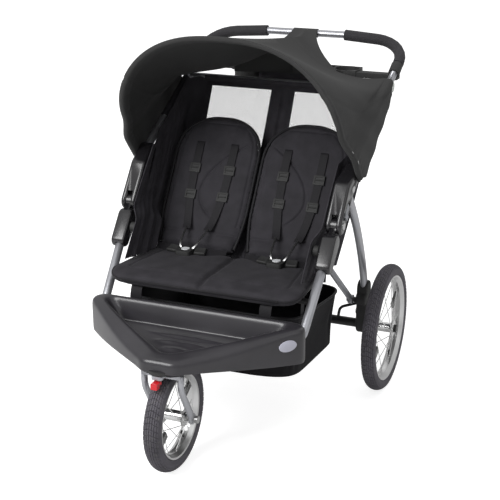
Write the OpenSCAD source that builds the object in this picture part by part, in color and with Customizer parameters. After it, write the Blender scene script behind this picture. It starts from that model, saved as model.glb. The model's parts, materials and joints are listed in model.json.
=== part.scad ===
// Side by side double jogging stroller: three wheels, folding tube frame, two seats under one canopy.
// Millimetres, +Z up, the front wheel leads towards -Y. The child's left is +X.
// Side-view places are [y, z] pairs, with y measured from the rear axle.

/* [Wheels] */
// Outer diameter of the front tyre
front_wheel_d = 306; // [290:1:312]
// Outer diameter of the rear tyres
rear_wheel_d = 392; // [370:1:410]
// Width of the front tyre
front_tyre_w = 48; // [40:1:54]
// Width of the rear tyres
rear_tyre_w = 44; // [38:1:48]
// Spokes in the front wheel
front_spokes = 16; // [12:2:20]
// Spokes in each rear wheel
rear_spokes = 20; // [12:2:28]
// Diameter of a spoke
spoke_d = 2.4; // [2:0.1:3]
// Depth of the rim below the tyre
rim_depth = 13; // [10:0.5:16]
// Width of the front hub over its flanges
front_hub_w = 70; // [60:1:76]
// Width of the rear hubs over their flanges
rear_hub_w = 60; // [50:1:64]
// Diameter of the hub flanges
flange_d = 50; // [42:1:56]

/* [Chassis] */
// Front axle to rear axle
wheelbase = 697; // [690:1:706]
// Tyre centre planes outside the side frames
wheel_clear = 68; // [64:1:76]
// Side frame centre planes outside the seat's front corners
frame_clear = 17; // [16:0.5:20]
// Diameter of the frame tubes
tube_d = 25; // [22:0.5:26]
// Hinge axis ahead of the rear axle
hinge_reach = 312; // [306:1:318]
// Hinge axis above the ground
hinge_height = 609; // [602:1:616]
// Knee of the front tubes ahead of the rear axle
knee_reach = 534; // [530:1:538]
// Knee of the front tubes above the ground
knee_height = 352.8; // [350:0.2:356]
// Inward lean of the front tubes, in degrees
front_lean = 2.7; // [2:0.1:3.2]
// Diameter of the rear cross tube
axle_tube_d = 28; // [24:1:32]
// Diameter of the wheel axles
axle_d = 12; // [10:0.5:14]
// Width of the oval rear legs across the sweep
leg_w = 32; // [28:1:34]
// Thickness of the oval rear legs
leg_t = 18; // [16:0.5:19]
// Bow of the rear legs behind their chord
leg_bow = 31; // [24:1:38]
// Diameter of the folding stays
stay_d = 18; // [14:0.5:18]

/* [Handle] */
// Handlebar behind the rear axle
handle_reach = 316; // [308:1:324]
// Ends of the handlebar above the hinge axis
handle_lift = 407; // [400:1:414]
// Slope of the handle tubes above level, in degrees
handle_angle = 29.4; // [28.8:0.1:30]
// Handle tubes outside the side frames
handle_spread = 12; // [10:0.5:14]
// Rise of the handlebar at its middle
handle_rise = 14; // [6:1:20]
// Outer diameter of the foam grips
grip_d = 34; // [32:0.5:38]
// Bare bar between the two grips
grip_gap = 256; // [220:2:300]

/* [Seats] */
// Width over both seats at the front edge
seat_w = 594; // [580:1:596]
// Narrowing of each side of the seat towards the rear
seat_taper = 32; // [30:1:42]
// Seat depth from front edge to backrest
seat_depth = 275; // [265:1:280]
// Height of the seat top at the front
seat_height = 474; // [470:1:484]
// Fall of the seat top from front to rear
seat_fall = 12; // [6:1:16]
// Crown of the cushion over each seat
seat_crown = 12; // [6:1:16]
// Backrest angle above level, in degrees
back_angle = 56.6; // [55:0.2:58]
// Length of a backrest
back_length = 430; // [410:1:440]
// Thickness of a backrest pad
back_t = 34; // [28:1:38]

/* [Canopy] */
// Length of the front bow in its own plane
bow_length = 428; // [418:1:438]
// Angle of the front bow above level, in degrees
bow_angle = 65; // [63:0.2:67]
// Thickness of the cover cloth
cloth_t = 3; // [2:0.5:4]
// Width share of the bow above its legs
bow_lean = 0.93; // [0.92:0.005:1]
// Forward bulge of the brim half way up
bow_bulge = 40; // [20:1:46]
// Width of the bow strip
bow_strip_w = 16; // [12:1:18]

/* [Footwell] */
// Rear corners outside the side frames
footwell_over = 2; // [-2:0.5:4]
// Height of the rear edge
footwell_height = 402; // [398:1:408]
// Height of the lip at the front tip
footwell_tip = 354; // [350:1:358]
// Height of the basin floor
footwell_floor = 340; // [338:1:344]
// Wall of the moulding
footwell_wall = 4; // [3:0.5:5]

/* [Fits] */
// Gap between neighbouring pieces
gap = 0.3; // [0.2:0.05:0.5]
// Radial running gap of a pin in its bore
pin_gap = 0.05; // [0.03:0.01:0.1]
// Diameter of the hinge pins
pin_d = 10; // [8:0.5:12]

/* [Hidden] */
$fn = 48;

// Widths and heights that follow the seat and the hinges
frame_w = seat_w + 2 * frame_clear;
track = frame_w + 2 * wheel_clear;
handle_w = frame_w + 2 * handle_spread;
footwell_w = frame_w + 2 * footwell_over;
seat_rear_w = seat_w - 2 * seat_taper;
handle_height = hinge_height + handle_lift;

// Frame origin: middle of the length, so the rear axle stands behind it
rear_y = (wheelbase + front_wheel_d / 2 - handle_reach - grip_d / 2) / 2;
front_r = front_wheel_d / 2;
rear_r = rear_wheel_d / 2;
front_axle_p = [-wheelbase, front_r];
rear_axle_p = [0, rear_r];

// Side frame: hinge, leg and stay pivots
side_x = frame_w / 2;
hinge_p = [-hinge_reach, hinge_height];
knee_p = [-knee_reach, knee_height];
knee_t = norm(knee_p - hinge_p);
down_front = (knee_p - hinge_p) / knee_t;
leg_pivot_p = hinge_p + [80, 84];
stay_top_p = hinge_p + down_front * 81;
stay_foot_p = rear_axle_p + [-30, 88];
leg_foot_p = rear_axle_p + [2, 100];
hinge_w = 46;
sleeve_w = 42;
knuckle_r = 20;
cheek_r = 29;
sleeve_len = 142;
sleeve_r = 24;
sleeve_low_r = 20;
sleeve_x = side_x - 3;
sleeve_inner_x = sleeve_x - sleeve_w / 2;
stay_x = sleeve_inner_x - 1 - stay_d / 2;

// Head of the front fork
trail = 65;
head_y = -wheelbase - trail;
head_z = 329;
head_low = 313;
fork_half = 52;
fork_leg_d = 18;
crown_t = 10;
crown_depth = 28;
crown_top = head_low - 3;
stem_d = 22;
lock_pin_d = 6;
lock_radius = 27;

// Handle line, measured back from the bar
handle_x = handle_w / 2;
up_handle = [cos(handle_angle), sin(handle_angle)];
bar_p = [handle_reach, handle_height];
joint_p = bar_p - up_handle * 210;
handle_foot_p = bar_p - up_handle * 612;
cross_p = bar_p - up_handle * 226;
cross_d = 20;

// Canopy pivots on the outside of the hinge housings
bow_p = hinge_p + [112, 108];
bow_dir = [-cos(bow_angle), sin(bow_angle)];
bow_x = side_x + hinge_w / 2 + 8;
bow_t = 5;
bow_pin_d = 8;
bow_leg = 0.4;
cover_inner = bow_x + bow_t / 2 + gap;
// The cover's rear corner lies below the joint
corner_drop = 22;
cover_rear_p = joint_p + [-6, 4] - up_handle * corner_drop;
cover_rear_x = handle_x + tube_d / 2 + gap;
cover_top_rear = [handle_reach - 126, handle_height + 12];

// Seats
seat_rear_y = -262;
seat_front_y = seat_rear_y - seat_depth;
rail_d = 16;
side_rail_d = rail_d - 2;
rail_z = seat_height - 38;
rear_rail_p = [seat_rear_y + 12, rail_z];
rail_x = seat_rear_w / 2 - 7;
rail_top = rail_z + rail_d / 2;
back_dir = [cos(back_angle), sin(back_angle)];
back_normal = [sin(back_angle), -cos(back_angle)];
back_p = [seat_rear_y - 2, seat_height - seat_fall - 4];
back_x = (seat_rear_w + 38) / 4;
back_half = back_x - 17;

function place(x, p) = [x, rear_y + p[0], p[1]];
function mix(a, b, t) = a + (b - a) * t;
function unit(v) = v / norm(v);
function frame_line(t) = place(side_x - t * tan(front_lean), hinge_p + down_front * t);

// Mirrors its children to the right-hand side when side is -1
module on_side(side) {
    if (side < 0) mirror([1, 0, 0]) children();
    else children();
}

// Extrudes a [y, z] outline across X, centred on x
module side_extrude(x, w) {
    translate([x - w / 2, rear_y, 0]) rotate([90, 0, 90]) linear_extrude(w) children();
}

// Cylinder along X, centred on x at the side-view place p
module x_cyl(x, p, d, w) {
    translate(place(x - w / 2, p)) rotate([0, 90, 0]) cylinder(d = d, h = w);
}

// Straight round bar from a to b
module rod(a, b, d) {
    v = b - a;
    translate(a) rotate([0, acos(v[2] / norm(v)), atan2(v[1], v[0])]) cylinder(d = d, h = norm(v));
}

// Points of a polyline whose inner corners are rounded to the given radius
function bend_path(points, bend, steps = 7) = [
    points[0],
    for (i = [1:1:len(points) - 2]) let (
        u = unit(points[i] - points[i - 1]),
        v = unit(points[i + 1] - points[i]),
        turn = acos(u * v),
        inward = cross(unit(cross(u, v)), u),
        start = points[i] - u * bend * tan(turn / 2)
    ) each [for (k = [0:steps]) let (a = turn * k / steps)
        start + u * bend * sin(a) + inward * bend * (1 - cos(a))],
    points[len(points) - 1]
];

// Directions along a path, one a point
function headings(path) = let (n = len(path)) [for (i = [0:n - 1])
    unit(path[min(i + 1, n - 1)] - path[max(i - 1, 0)])];

// Normals carried along the path without twist
function normals(dirs) = [
    for (i = 0, side = unit(cross(dirs[0], abs(dirs[0][2]) < 0.9 ? [0, 0, 1] : [1, 0, 0]));
        i < len(dirs);
        i = i + 1,
        side = i < len(dirs) ? unit(side - dirs[i] * (side * dirs[i])) : side)
    side
];

// One closed round bar swept along a path
module swept(path, d, sides = 14) {
    dirs = headings(path);
    outs = normals(dirs);
    count = len(path);
    rings = [for (i = [0:count - 1]) for (k = [0:sides - 1]) let (a = 360 * k / sides)
        path[i] + d / 2 * (outs[i] * cos(a) + cross(dirs[i], outs[i]) * sin(a))];
    walls = [for (i = [0:count - 2]) for (k = [0:sides - 1]) let (
        a = i * sides + k,
        b = i * sides + (k + 1) % sides
    ) each [[a, a + sides, b + sides], [a, b + sides, b]]];
    first = [for (k = [1:sides - 2]) [0, k, k + 1]];
    last = [for (k = [1:sides - 2]) let (o = (count - 1) * sides) [o, o + k + 1, o + k]];
    polyhedron(points = rings, faces = concat(walls, first, last));
}

// Round tube with circular bends at the inner points of a polyline
module bent_tube(points, d, bend) {
    swept(bend_path(points, bend), d);
}

// Disc across X with a rounded rim, the building block of the moulded shells
module pill(x, p, r, w, edge) {
    translate(place(x, p)) rotate([0, 90, 0]) rotate_extrude($fn = 24) {
        translate([0, -w / 2]) square([r - edge, w]);
        translate([0, -w / 2 + edge]) square([r, w - 2 * edge]);
        for (s = [-1, 1]) translate([r - edge, s * (w / 2 - edge)]) circle(r = edge, $fn = 14);
    }
}

// Closed solid between two grids of points with the same rows and columns
module grid_solid(front, back) {
    rows = len(front);
    cols = len(front[0]);
    count = rows * cols;
    flat_front = [for (row = front) for (p = row) p];
    flat_back = [for (row = back) for (p = row) p];
    at = function(r, c) r * cols + c;
    skin = [for (r = [0:rows - 2]) for (c = [0:cols - 2]) each [
        [at(r, c), at(r, c + 1), at(r + 1, c + 1)],
        [at(r, c), at(r + 1, c + 1), at(r + 1, c)]
    ]];
    lining = [for (f = skin) [f[0] + count, f[2] + count, f[1] + count]];
    edge_ids = concat(
        [for (c = [0:cols - 2]) [at(0, c + 1), at(0, c)]],
        [for (r = [0:rows - 2]) [at(r + 1, cols - 1), at(r, cols - 1)]],
        [for (c = [0:cols - 2]) [at(rows - 1, c), at(rows - 1, c + 1)]],
        [for (r = [0:rows - 2]) [at(r, 0), at(r + 1, 0)]]
    );
    rim = [for (e = edge_ids) each [
        [e[0], e[1], e[1] + count],
        [e[0], e[1] + count, e[0] + count]
    ]];
    polyhedron(points = concat(flat_front, flat_back), faces = concat(skin, lining, rim));
}

// Wheels

// Tyre: a round section cut flat where it sits on the rim
function bead_r(wheel_d, tyre_w) = wheel_d / 2 - tyre_w / 2 - tyre_w * 0.26;

module tyre(wheel_d, tyre_w) {
    rotate([0, 90, 0]) rotate_extrude($fn = 72) difference() {
        translate([wheel_d / 2 - tyre_w / 2, 0]) circle(d = tyre_w);
        translate([0, -tyre_w]) square([bead_r(wheel_d, tyre_w), 2 * tyre_w]);
    }
}

// Rim: shallow drop-centre channel, as wide as the tyre's bead
module rim(wheel_d, tyre_w) {
    top = bead_r(wheel_d, tyre_w) - gap;
    half = tyre_w * 0.42;
    well = half * 0.42;
    rotate([0, 90, 0]) rotate_extrude($fn = 72) polygon([
        [top, -half], [top, half], [top - rim_depth * 0.4, half - 1],
        [top - rim_depth, well], [top - rim_depth, -well], [top - rim_depth * 0.4, 1 - half]
    ]);
}

// Hub with two flanges and laced spokes that end at the rim
module hub(wheel_d, tyre_w, hub_w, count) {
    rim_r = bead_r(wheel_d, tyre_w) - gap - rim_depth - gap;
    flange_x = hub_w / 2 - 4;
    flange_t = 3;
    lead = 55;
    spread = 3;
    difference() {
        union() {
            rotate([0, 90, 0]) cylinder(d = flange_d * 0.6, h = hub_w, center = true);
            for (s = [-1, 1]) translate([s * flange_x, 0, 0]) rotate([0, 90, 0])
                cylinder(d = flange_d, h = flange_t, center = true);
            for (i = [0:count - 1]) {
                s = i % 2 == 0 ? 1 : -1;
                a = 360 * i / count;
                from = flange_d / 2 - 4;
                rod([s * flange_x, from * cos(a + s * lead), from * sin(a + s * lead)],
                    [s * spread, rim_r * cos(a), rim_r * sin(a)], spoke_d, $fn = 16);
            }
        }
        rotate([0, 90, 0]) cylinder(d = axle_d + 2 * pin_gap, h = hub_w + 2, center = true);
    }
}

// Lobed brake disc on the inner end of a rear hub
disc_t = 6;
disc_r = 40;
disc_lobes = 8;

module brake_disc() {
    rotate([0, 90, 0]) linear_extrude(disc_t) difference() {
        union() {
            circle(r = disc_r);
            for (i = [0:disc_lobes - 1]) rotate(360 * i / disc_lobes) translate([disc_r, 0]) circle(r = 8);
        }
        circle(d = axle_d + 2);
        for (i = [0:disc_lobes - 1]) rotate(360 * (i + 0.5) / disc_lobes)
            translate([disc_r - 11, 0]) circle(r = 5);
    }
}

module at_rear_wheel(side) {
    translate(place(side * track / 2, rear_axle_p)) children();
}

module rear_tyre_left() { color("#1c1c1d") at_rear_wheel(1) tyre(rear_wheel_d, rear_tyre_w); }
module rear_tyre_right() { color("#1c1c1d") at_rear_wheel(-1) tyre(rear_wheel_d, rear_tyre_w); }
module rear_rim_left() { color("#c9ccd0") at_rear_wheel(1) rim(rear_wheel_d, rear_tyre_w); }
module rear_rim_right() { color("#c9ccd0") at_rear_wheel(-1) rim(rear_wheel_d, rear_tyre_w); }

module rear_hub_left() {
    color("#d6d8db") at_rear_wheel(1) hub(rear_wheel_d, rear_tyre_w, rear_hub_w, rear_spokes);
}

module rear_hub_right() {
    color("#d6d8db") at_rear_wheel(-1) hub(rear_wheel_d, rear_tyre_w, rear_hub_w, rear_spokes);
}

module brake_disc_left() {
    color("#202124") at_rear_wheel(1) translate([-rear_hub_w / 2 - disc_t, 0, 0]) brake_disc();
}

module brake_disc_right() {
    color("#202124") at_rear_wheel(-1) translate([rear_hub_w / 2, 0, 0]) brake_disc();
}

module at_front_wheel() { translate(place(0, front_axle_p)) children(); }

module front_tyre() { color("#1c1c1d") at_front_wheel() tyre(front_wheel_d, front_tyre_w); }
module front_rim() { color("#c9ccd0") at_front_wheel() rim(front_wheel_d, front_tyre_w); }

module front_hub() {
    color("#d6d8db") at_front_wheel() hub(front_wheel_d, front_tyre_w, front_hub_w, front_spokes);
}

// Front fork, its axle and the swivel lock

module fork_leg() {
    top = place(fork_half, [head_y, crown_top - 2]);
    knee = place(fork_half, [head_y, crown_top - 46]);
    foot = place(fork_half, front_axle_p);
    bent_tube([top, knee, foot], fork_leg_d, 70);
}

module front_fork() {
    color("#a9adb3") difference() {
        union() {
            for (s = [-1, 1]) on_side(s) {
                fork_leg();
                x_cyl(fork_half, front_axle_p, 30, 8);
            }
            translate(place(0, [head_y, crown_top - crown_t])) {
                translate([-fork_half, -crown_depth / 2 - 1, 0])
                    cube([2 * fork_half, crown_depth, crown_t]);
                translate([-lock_radius / 2, -lock_radius - 8, 0]) cube([lock_radius, lock_radius, crown_t]);
                cylinder(d = stem_d, h = crown_t + 36);
            }
        }
        x_cyl(0, front_axle_p, axle_d + 2 * pin_gap, 3 * fork_half);
        translate(place(0, [head_y - lock_radius, crown_top - crown_t - 1]))
            cylinder(d = lock_pin_d + 2 * pin_gap, h = crown_t + 2);
    }
}

// Axle bolt with spacers beside the hub and nuts outside the fork
module front_axle() {
    nut_t = 9;
    inner = front_hub_w / 2 + gap;
    fork_in = fork_half - fork_leg_d / 2;
    fork_out = fork_half + fork_leg_d / 2;
    color("#b9bcc0") {
        x_cyl(0, front_axle_p, axle_d, 2 * (fork_out + nut_t));
        for (s = [-1, 1]) on_side(s) {
            x_cyl((inner + fork_in - gap) / 2, front_axle_p, axle_d + 6, fork_in - gap - inner);
            x_cyl(fork_out + gap + nut_t / 2, front_axle_p, axle_d + 8, nut_t);
        }
    }
}

// Push-up pin below the fork crown, with a round knob and a finger tab ahead of the tyre
lock_travel = 5;
lock_knob_d = 20;
lock_knob_h = 7.7;
lock_tab = [18, 15, 15];

module swivel_lock() {
    knob_top = crown_top - crown_t - lock_travel - gap;
    tip = head_low - 2 * gap;
    color("#c8202c") translate(place(0, [head_y - lock_radius, knob_top])) {
        translate([0, 0, -lock_knob_h]) cylinder(d = lock_knob_d, h = lock_knob_h);
        translate([-lock_tab[0] / 2, -lock_knob_d / 2 - lock_tab[1] + 1, -lock_tab[2]]) cube(lock_tab);
        translate([0, 0, -1]) cylinder(d = lock_pin_d, h = tip - knob_top + 1);
        translate([-lock_tab[0] / 2, -lock_knob_d / 2, -lock_knob_h])
            cube([lock_tab[0], lock_knob_d / 2, lock_knob_h]);
    }
}

// Front frame

module frame_tube_shape(d) {
    start = frame_line(38);
    knee = frame_line(knee_t);
    head = place(0, [head_y, head_z]);
    inward = unit(head - knee);
    bent_tube([start, knee, head - inward * 27], d, 48);
}

module frame_tube_left() { color("#b4b7bc") frame_tube_shape(tube_d); }
module frame_tube_right() { color("#b4b7bc") on_side(-1) frame_tube_shape(tube_d); }

// Steering head with two tube sockets and lock holes fore and aft
module head_bracket() {
    head = place(0, [head_y, head_z]);
    flange_t = 9;
    color("#1d1d1f") difference() {
        union() {
            translate(place(0, [head_y, head_low])) cylinder(d = 46, h = 38);
            translate(place(0, [head_y, head_low])) cylinder(d = 76, h = flange_t);
            for (s = [-1, 1]) on_side(s) rod(head, head + unit(frame_line(knee_t) - head) * 84, tube_d + 6);
        }
        for (s = [-1, 1]) on_side(s) frame_tube_shape(tube_d + 2 * gap);
        translate(place(0, [head_y, head_low - 1])) cylinder(d = stem_d + 2 * pin_gap, h = 36);
        for (s = [-1, 1]) translate(place(0, [head_y + s * lock_radius, head_low - 1]))
            cylinder(d = lock_pin_d + 1, h = flange_t + 2);
    }
}

// Moulded footwell: a deep V with a rounded lip, a flat rear wall and a ribbed basin
corner_r = 26;
corner_p = [footwell_w / 2 - corner_r, knee_p[0] + 7 - corner_r];
tip_p = [36, head_y - 4];
tip_r = 26;
footwell_low = head_low;
corner_low = footwell_low - 14;

module post(x, y, low, high, r) {
    translate([x, rear_y + y, low]) cylinder(r = r, h = high - r * 0.6 - low, $fn = 28);
    translate([x, rear_y + y, high - r]) sphere(r = r, $fn = 20);
}

module footwell_mass(inset, drop) {
    hull() for (s = [-1, 1]) {
        post(s * corner_p[0], corner_p[1], corner_low - drop, footwell_height - inset, corner_r - inset);
        post(s * tip_p[0], tip_p[1], footwell_low - drop, footwell_tip - inset, tip_r - inset);
    }
}

module basin_post(s, p, z, r) {
    translate([s * p[0], rear_y + p[1], z]) cylinder(r = r, h = 2, $fn = 24);
}

module basin(grow) {
    floor_z = footwell_floor - grow;
    hull() for (s = [-1, 1]) {
        basin_post(s, corner_p - [76, 15], floor_z, 10 + grow);
        basin_post(s, tip_p + [-24, 44], floor_z, 10 + grow);
        basin_post(s, corner_p - [22, 3], footwell_height + 20, 16 + grow);
        basin_post(s, tip_p + [-16, 6], footwell_height + 20, 14 + grow);
    }
}

module footwell_rib(y, half) {
    rib_d = 12;
    a = [-half, rear_y + y, footwell_floor];
    b = [half, rear_y + y, footwell_floor];
    rod(a, b, rib_d);
    for (p = [a, b]) translate(p) sphere(d = rib_d, $fn = 24);
}

module footwell() {
    color("#232325") difference() {
        union() {
            difference() {
                footwell_mass(0, 0);
                basin(0);
                difference() {
                    footwell_mass(footwell_wall, 10);
                    basin(footwell_wall);
                }
            }
            intersection() {
                for (rib = [[51, 186], [93, 222], [135, 262]])
                    footwell_rib(corner_p[1] - rib[0], corner_p[0] + 14 - rib[1]);
                translate([-corner_p[0], rear_y + tip_p[1], footwell_floor - footwell_wall + 1])
                    cube([2 * corner_p[0], corner_p[1] - tip_p[1], 40]);
            }
        }
        for (s = [-1, 1]) on_side(s) frame_tube_shape(tube_d + 2 * gap);
        for (s = [-1, 1]) on_side(s) {
            head = place(0, [head_y, head_z]);
            rod(head, head + unit(frame_line(knee_t) - head) * 84.3, tube_d + 6 + 2 * gap);
        }
        translate(place(0, [head_y, head_low - 6])) cylinder(d = 47, h = 44 + gap);
        translate(place(0, [head_y, head_low - 6])) cylinder(d = 77, h = 15 + gap);
    }
}

// Lower half of the hinge: a sleeve on the front tube with a knuckle on top

module hinge_sleeve() {
    upper = hinge_p + down_front * 52;
    lower = hinge_p + down_front * (sleeve_len - 18);
    pin_in = stay_x - stay_d / 2 - 3;
    pin_out = sleeve_inner_x + 4;
    difference() {
        union() {
            difference() {
                hull() {
                    pill(sleeve_x, upper, sleeve_r, sleeve_w, 6);
                    pill(sleeve_x, lower, sleeve_low_r, sleeve_w, 6);
                }
                x_cyl(side_x, hinge_p, 2 * cheek_r, hinge_w + 20);
            }
            x_cyl(side_x, hinge_p, 2 * knuckle_r, leg_t);
            side_extrude(side_x, leg_t) polygon([
                for (e = [[0, 14], [36, 14], [36, -14], [0, -14]])
                    hinge_p + down_front * e[0] + [-down_front[1], down_front[0]] * e[1]
            ]);
            x_cyl((pin_in + pin_out) / 2, stay_top_p, pin_d, pin_out - pin_in);
        }
        frame_tube_shape(tube_d + 2 * gap);
        x_cyl(side_x, hinge_p, pin_d + 2 * pin_gap, hinge_w);
    }
}

module hinge_sleeve_left() { color("#1b1b1d") hinge_sleeve(); }
module hinge_sleeve_right() { color("#1b1b1d") on_side(-1) hinge_sleeve(); }

// Upper half of the hinge: a curved shell that holds the handle tube and the rear leg

module hinge_housing() {
    middle = leg_pivot_p + [-10, 2];
    top = handle_foot_p + up_handle * 34;
    slot = leg_t + 1;
    aim = unit(leg_foot_p - leg_pivot_p);
    aim_turn = atan2(aim[1], aim[0]);
    sweep = function(turn, along, side)
        leg_pivot_p + along * [cos(turn), sin(turn)] + side * [-sin(turn), cos(turn)];
    leg_sweep = [
        sweep(aim_turn + 14, 0, leg_w / 2 + 3), sweep(aim_turn + 14, 70, leg_w / 2 + 3),
        sweep(aim_turn - 8, 95, 0),
        sweep(aim_turn - 30, 70, -leg_w / 2 - 3), sweep(aim_turn - 30, 0, -leg_w / 2 - 3)
    ];
    boss_in = side_x + hinge_w / 2 - 2;
    boss_out = bow_x - bow_t / 2 - gap;
    bow_pin_out = bow_x + bow_t / 2 + 1;
    difference() {
        union() {
            difference() {
                union() {
                    hull() {
                        pill(side_x, hinge_p, 25, hinge_w, 7);
                        pill(side_x, middle, 29, hinge_w, 7);
                    }
                    hull() {
                        pill(side_x, middle, 29, hinge_w, 7);
                        pill(handle_x - 5, top, 22, tube_d + 16, 7);
                    }
                }
                side_extrude(side_x, slot) {
                    translate(hinge_p) circle(d = 67);
                    translate(leg_pivot_p) circle(d = leg_w + 10);
                    polygon(leg_sweep);
                }
            }
            x_cyl(side_x, hinge_p, pin_d, hinge_w - 2);
            x_cyl(side_x, leg_pivot_p, pin_d, hinge_w - 2);
            x_cyl((boss_in + boss_out) / 2, bow_p, bow_pin_d + 8, boss_out - boss_in);
            x_cyl((boss_in + bow_pin_out) / 2, bow_p, bow_pin_d, bow_pin_out - boss_in);
        }
        handle_tube_shape(tube_d + 2 * gap);
        fold_lever_pocket();
    }
}

module hinge_housing_left() { color("#1b1b1d") hinge_housing(); }
module hinge_housing_right() { color("#1b1b1d") on_side(-1) hinge_housing(); }

// Fold release: a sliding lever in a pocket on the outside of the housing
lever_len = 44;
lever_w = 20;
lever_t = 12;
lever_travel = 10;
lever_p = hinge_p + [30, 32];

module lever_frame() {
    translate(place(side_x + hinge_w / 2, lever_p))
        rotate([atan2(leg_pivot_p[1] - hinge_p[1], leg_pivot_p[0] - hinge_p[0]), 0, 0]) children();
}

module fold_lever_pocket() {
    lever_frame() translate([-8, -lever_len / 2 - gap, -lever_w / 2 - gap])
        cube([20, lever_len + lever_travel + 2 * gap, lever_w + 2 * gap]);
}

module fold_lever() {
    lever_frame() {
        translate([-8 + gap, -lever_len / 2, -lever_w / 2]) cube([lever_t - 4, lever_len, lever_w]);
        translate([0, -lever_len / 2, -lever_w / 2]) cube([5, 14, lever_w]);
    }
}

module fold_lever_left() { color("#8d9196") fold_lever(); }
module fold_lever_right() { color("#8d9196") on_side(-1) fold_lever(); }

// Handle

module handle_tube_shape(d) {
    rod(place(handle_x, handle_foot_p), place(handle_x, joint_p), d);
}

joint_d = 34;

module handle_tube() {
    difference() {
        union() {
            handle_tube_shape(tube_d);
            x_cyl(handle_x, joint_p, joint_d, tube_d);
        }
        x_cyl(handle_x, joint_p, 8, 40);
    }
}

module handle_tube_left() { color("#b4b7bc") handle_tube(); }
module handle_tube_right() { color("#b4b7bc") on_side(-1) handle_tube(); }

bar_bend = 95;
bar_d = tube_d - 3;
bar_low = place(handle_x, joint_p);
bar_corner = place(handle_x + 6, bar_p);
bar_shoulder = place(grip_gap / 2, bar_p + [0, handle_rise]);

function mirrored(p) = [-p[0], p[1], p[2]];
module handlebar_shape(d) {
    swept(concat(
        bend_path([bar_low, bar_corner, bar_shoulder], bar_bend),
        bend_path([mirrored(bar_shoulder), mirrored(bar_corner), mirrored(bar_low)], bar_bend)
    ), d);
}

module handlebar() {
    color("#b4b7bc") difference() {
        handlebar_shape(bar_d);
        for (s = [-1, 1]) on_side(s) x_cyl(handle_x, joint_p, joint_d + 2 * gap, 40);
    }
}

// Foam grip round the bend, from the bare middle to below the corner
module grip() {
    start = mix(bar_low, bar_corner, 0.5);
    before = mix(bar_low, bar_corner, 0.4);
    along = unit(bar_shoulder - bar_corner);
    difference() {
        bent_tube([start, bar_corner, bar_shoulder - along * 3], grip_d, bar_bend);
        bent_tube([before, bar_corner, bar_shoulder + along], bar_d + 2 * gap, bar_bend);
    }
}

module grip_left() { color("#161617") grip(); }
module grip_right() { color("#161617") on_side(-1) grip(); }

// Cross bar between the handle tubes, at the top of the seats
module cross_bar() {
    reach = handle_x - tube_d / 2 - gap;
    color("#b4b7bc") rod(place(-reach, cross_p), place(reach, cross_p), cross_d);
}

// Parent tray: a shallow moulded tray with two cup wells, clipped to the handlebar legs
tray_half = 205;
tray_p = bar_p - up_handle * 96 + [0, -34];
tray_depth = 78;
cup_r = 38;
cup_deep = 62;

module parent_tray() {
    clip = bar_p - up_handle * 130;
    clip_half = 20;
    arm = [handle_x + 9 - tray_half + 2, 36, 16];
    color("#19191a") difference() {
        union() {
            translate(place(-tray_half, tray_p + [-tray_depth / 2, -16]))
                cube([2 * tray_half, tray_depth, 22]);
            for (s = [-1, 1]) translate(place(s * (tray_half - cup_r), tray_p + [0, -cup_deep]))
                cylinder(r = cup_r + 4, h = cup_deep + 6);
            for (s = [-1, 1]) on_side(s) {
                translate(place(tray_half - 2, tray_p + [-tray_depth / 2 + 3, -14])) cube(arm);
                rod(place(handle_x + 2, clip - up_handle * clip_half),
                    place(handle_x + 2, clip + up_handle * clip_half), tube_d + 10);
            }
        }
        for (s = [-1, 1]) translate(place(s * (tray_half - cup_r), tray_p + [0, -cup_deep + 4]))
            cylinder(r = cup_r, h = cup_deep + 6);
        translate(place(-tray_half + 2 * cup_r + 8, tray_p + [-tray_depth / 2 + 4, -12]))
            cube([2 * (tray_half - 2 * cup_r - 8), tray_depth - 8, 30]);
        handlebar_shape(bar_d + 2 * gap);
    }
}

// Rear legs, axle and brakes

// Centre of the arc that bows the leg from its pivot to its foot
leg_chord = leg_foot_p - leg_pivot_p;
leg_half = norm(leg_chord) / 2;
leg_arc_r = (leg_half * leg_half + leg_bow * leg_bow) / (2 * leg_bow);
leg_side = unit([-leg_chord[1], leg_chord[0]]);
leg_centre = (leg_pivot_p + leg_foot_p) / 2 - leg_side * (leg_arc_r - leg_bow);
leg_from = atan2(leg_pivot_p[1] - leg_centre[1], leg_pivot_p[0] - leg_centre[0]);
leg_to = atan2(leg_foot_p[1] - leg_centre[1], leg_foot_p[0] - leg_centre[0]);

module leg_section(grow) {
    flat = leg_w - leg_t;
    translate([leg_arc_r - flat / 2, -leg_t / 2 - grow]) square([flat, leg_t + 2 * grow]);
    for (s = [-1, 1]) translate([leg_arc_r + s * flat / 2, 0]) circle(d = leg_t + 2 * grow);
}

module leg_arc(grow) {
    translate(place(side_x, leg_centre)) rotate([leg_to, 0, 0]) rotate([90, 0, 90])
        rotate_extrude(angle = leg_from - leg_to, $fn = 96) leg_section(grow);
}

module rear_leg() {
    difference() {
        union() {
            leg_arc(0);
            x_cyl(side_x, leg_pivot_p, leg_w, leg_t);
        }
        x_cyl(side_x, leg_pivot_p, pin_d + 2 * pin_gap, leg_t + 2);
    }
}

module rear_leg_left() { color("#b4b7bc") rear_leg(); }
module rear_leg_right() { color("#b4b7bc") on_side(-1) rear_leg(); }

bracket_w = 34;
bracket_x = side_x - 2;
lever_pin_d = 8;
lever_pivot_p = rear_axle_p + [14, 36];

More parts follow.
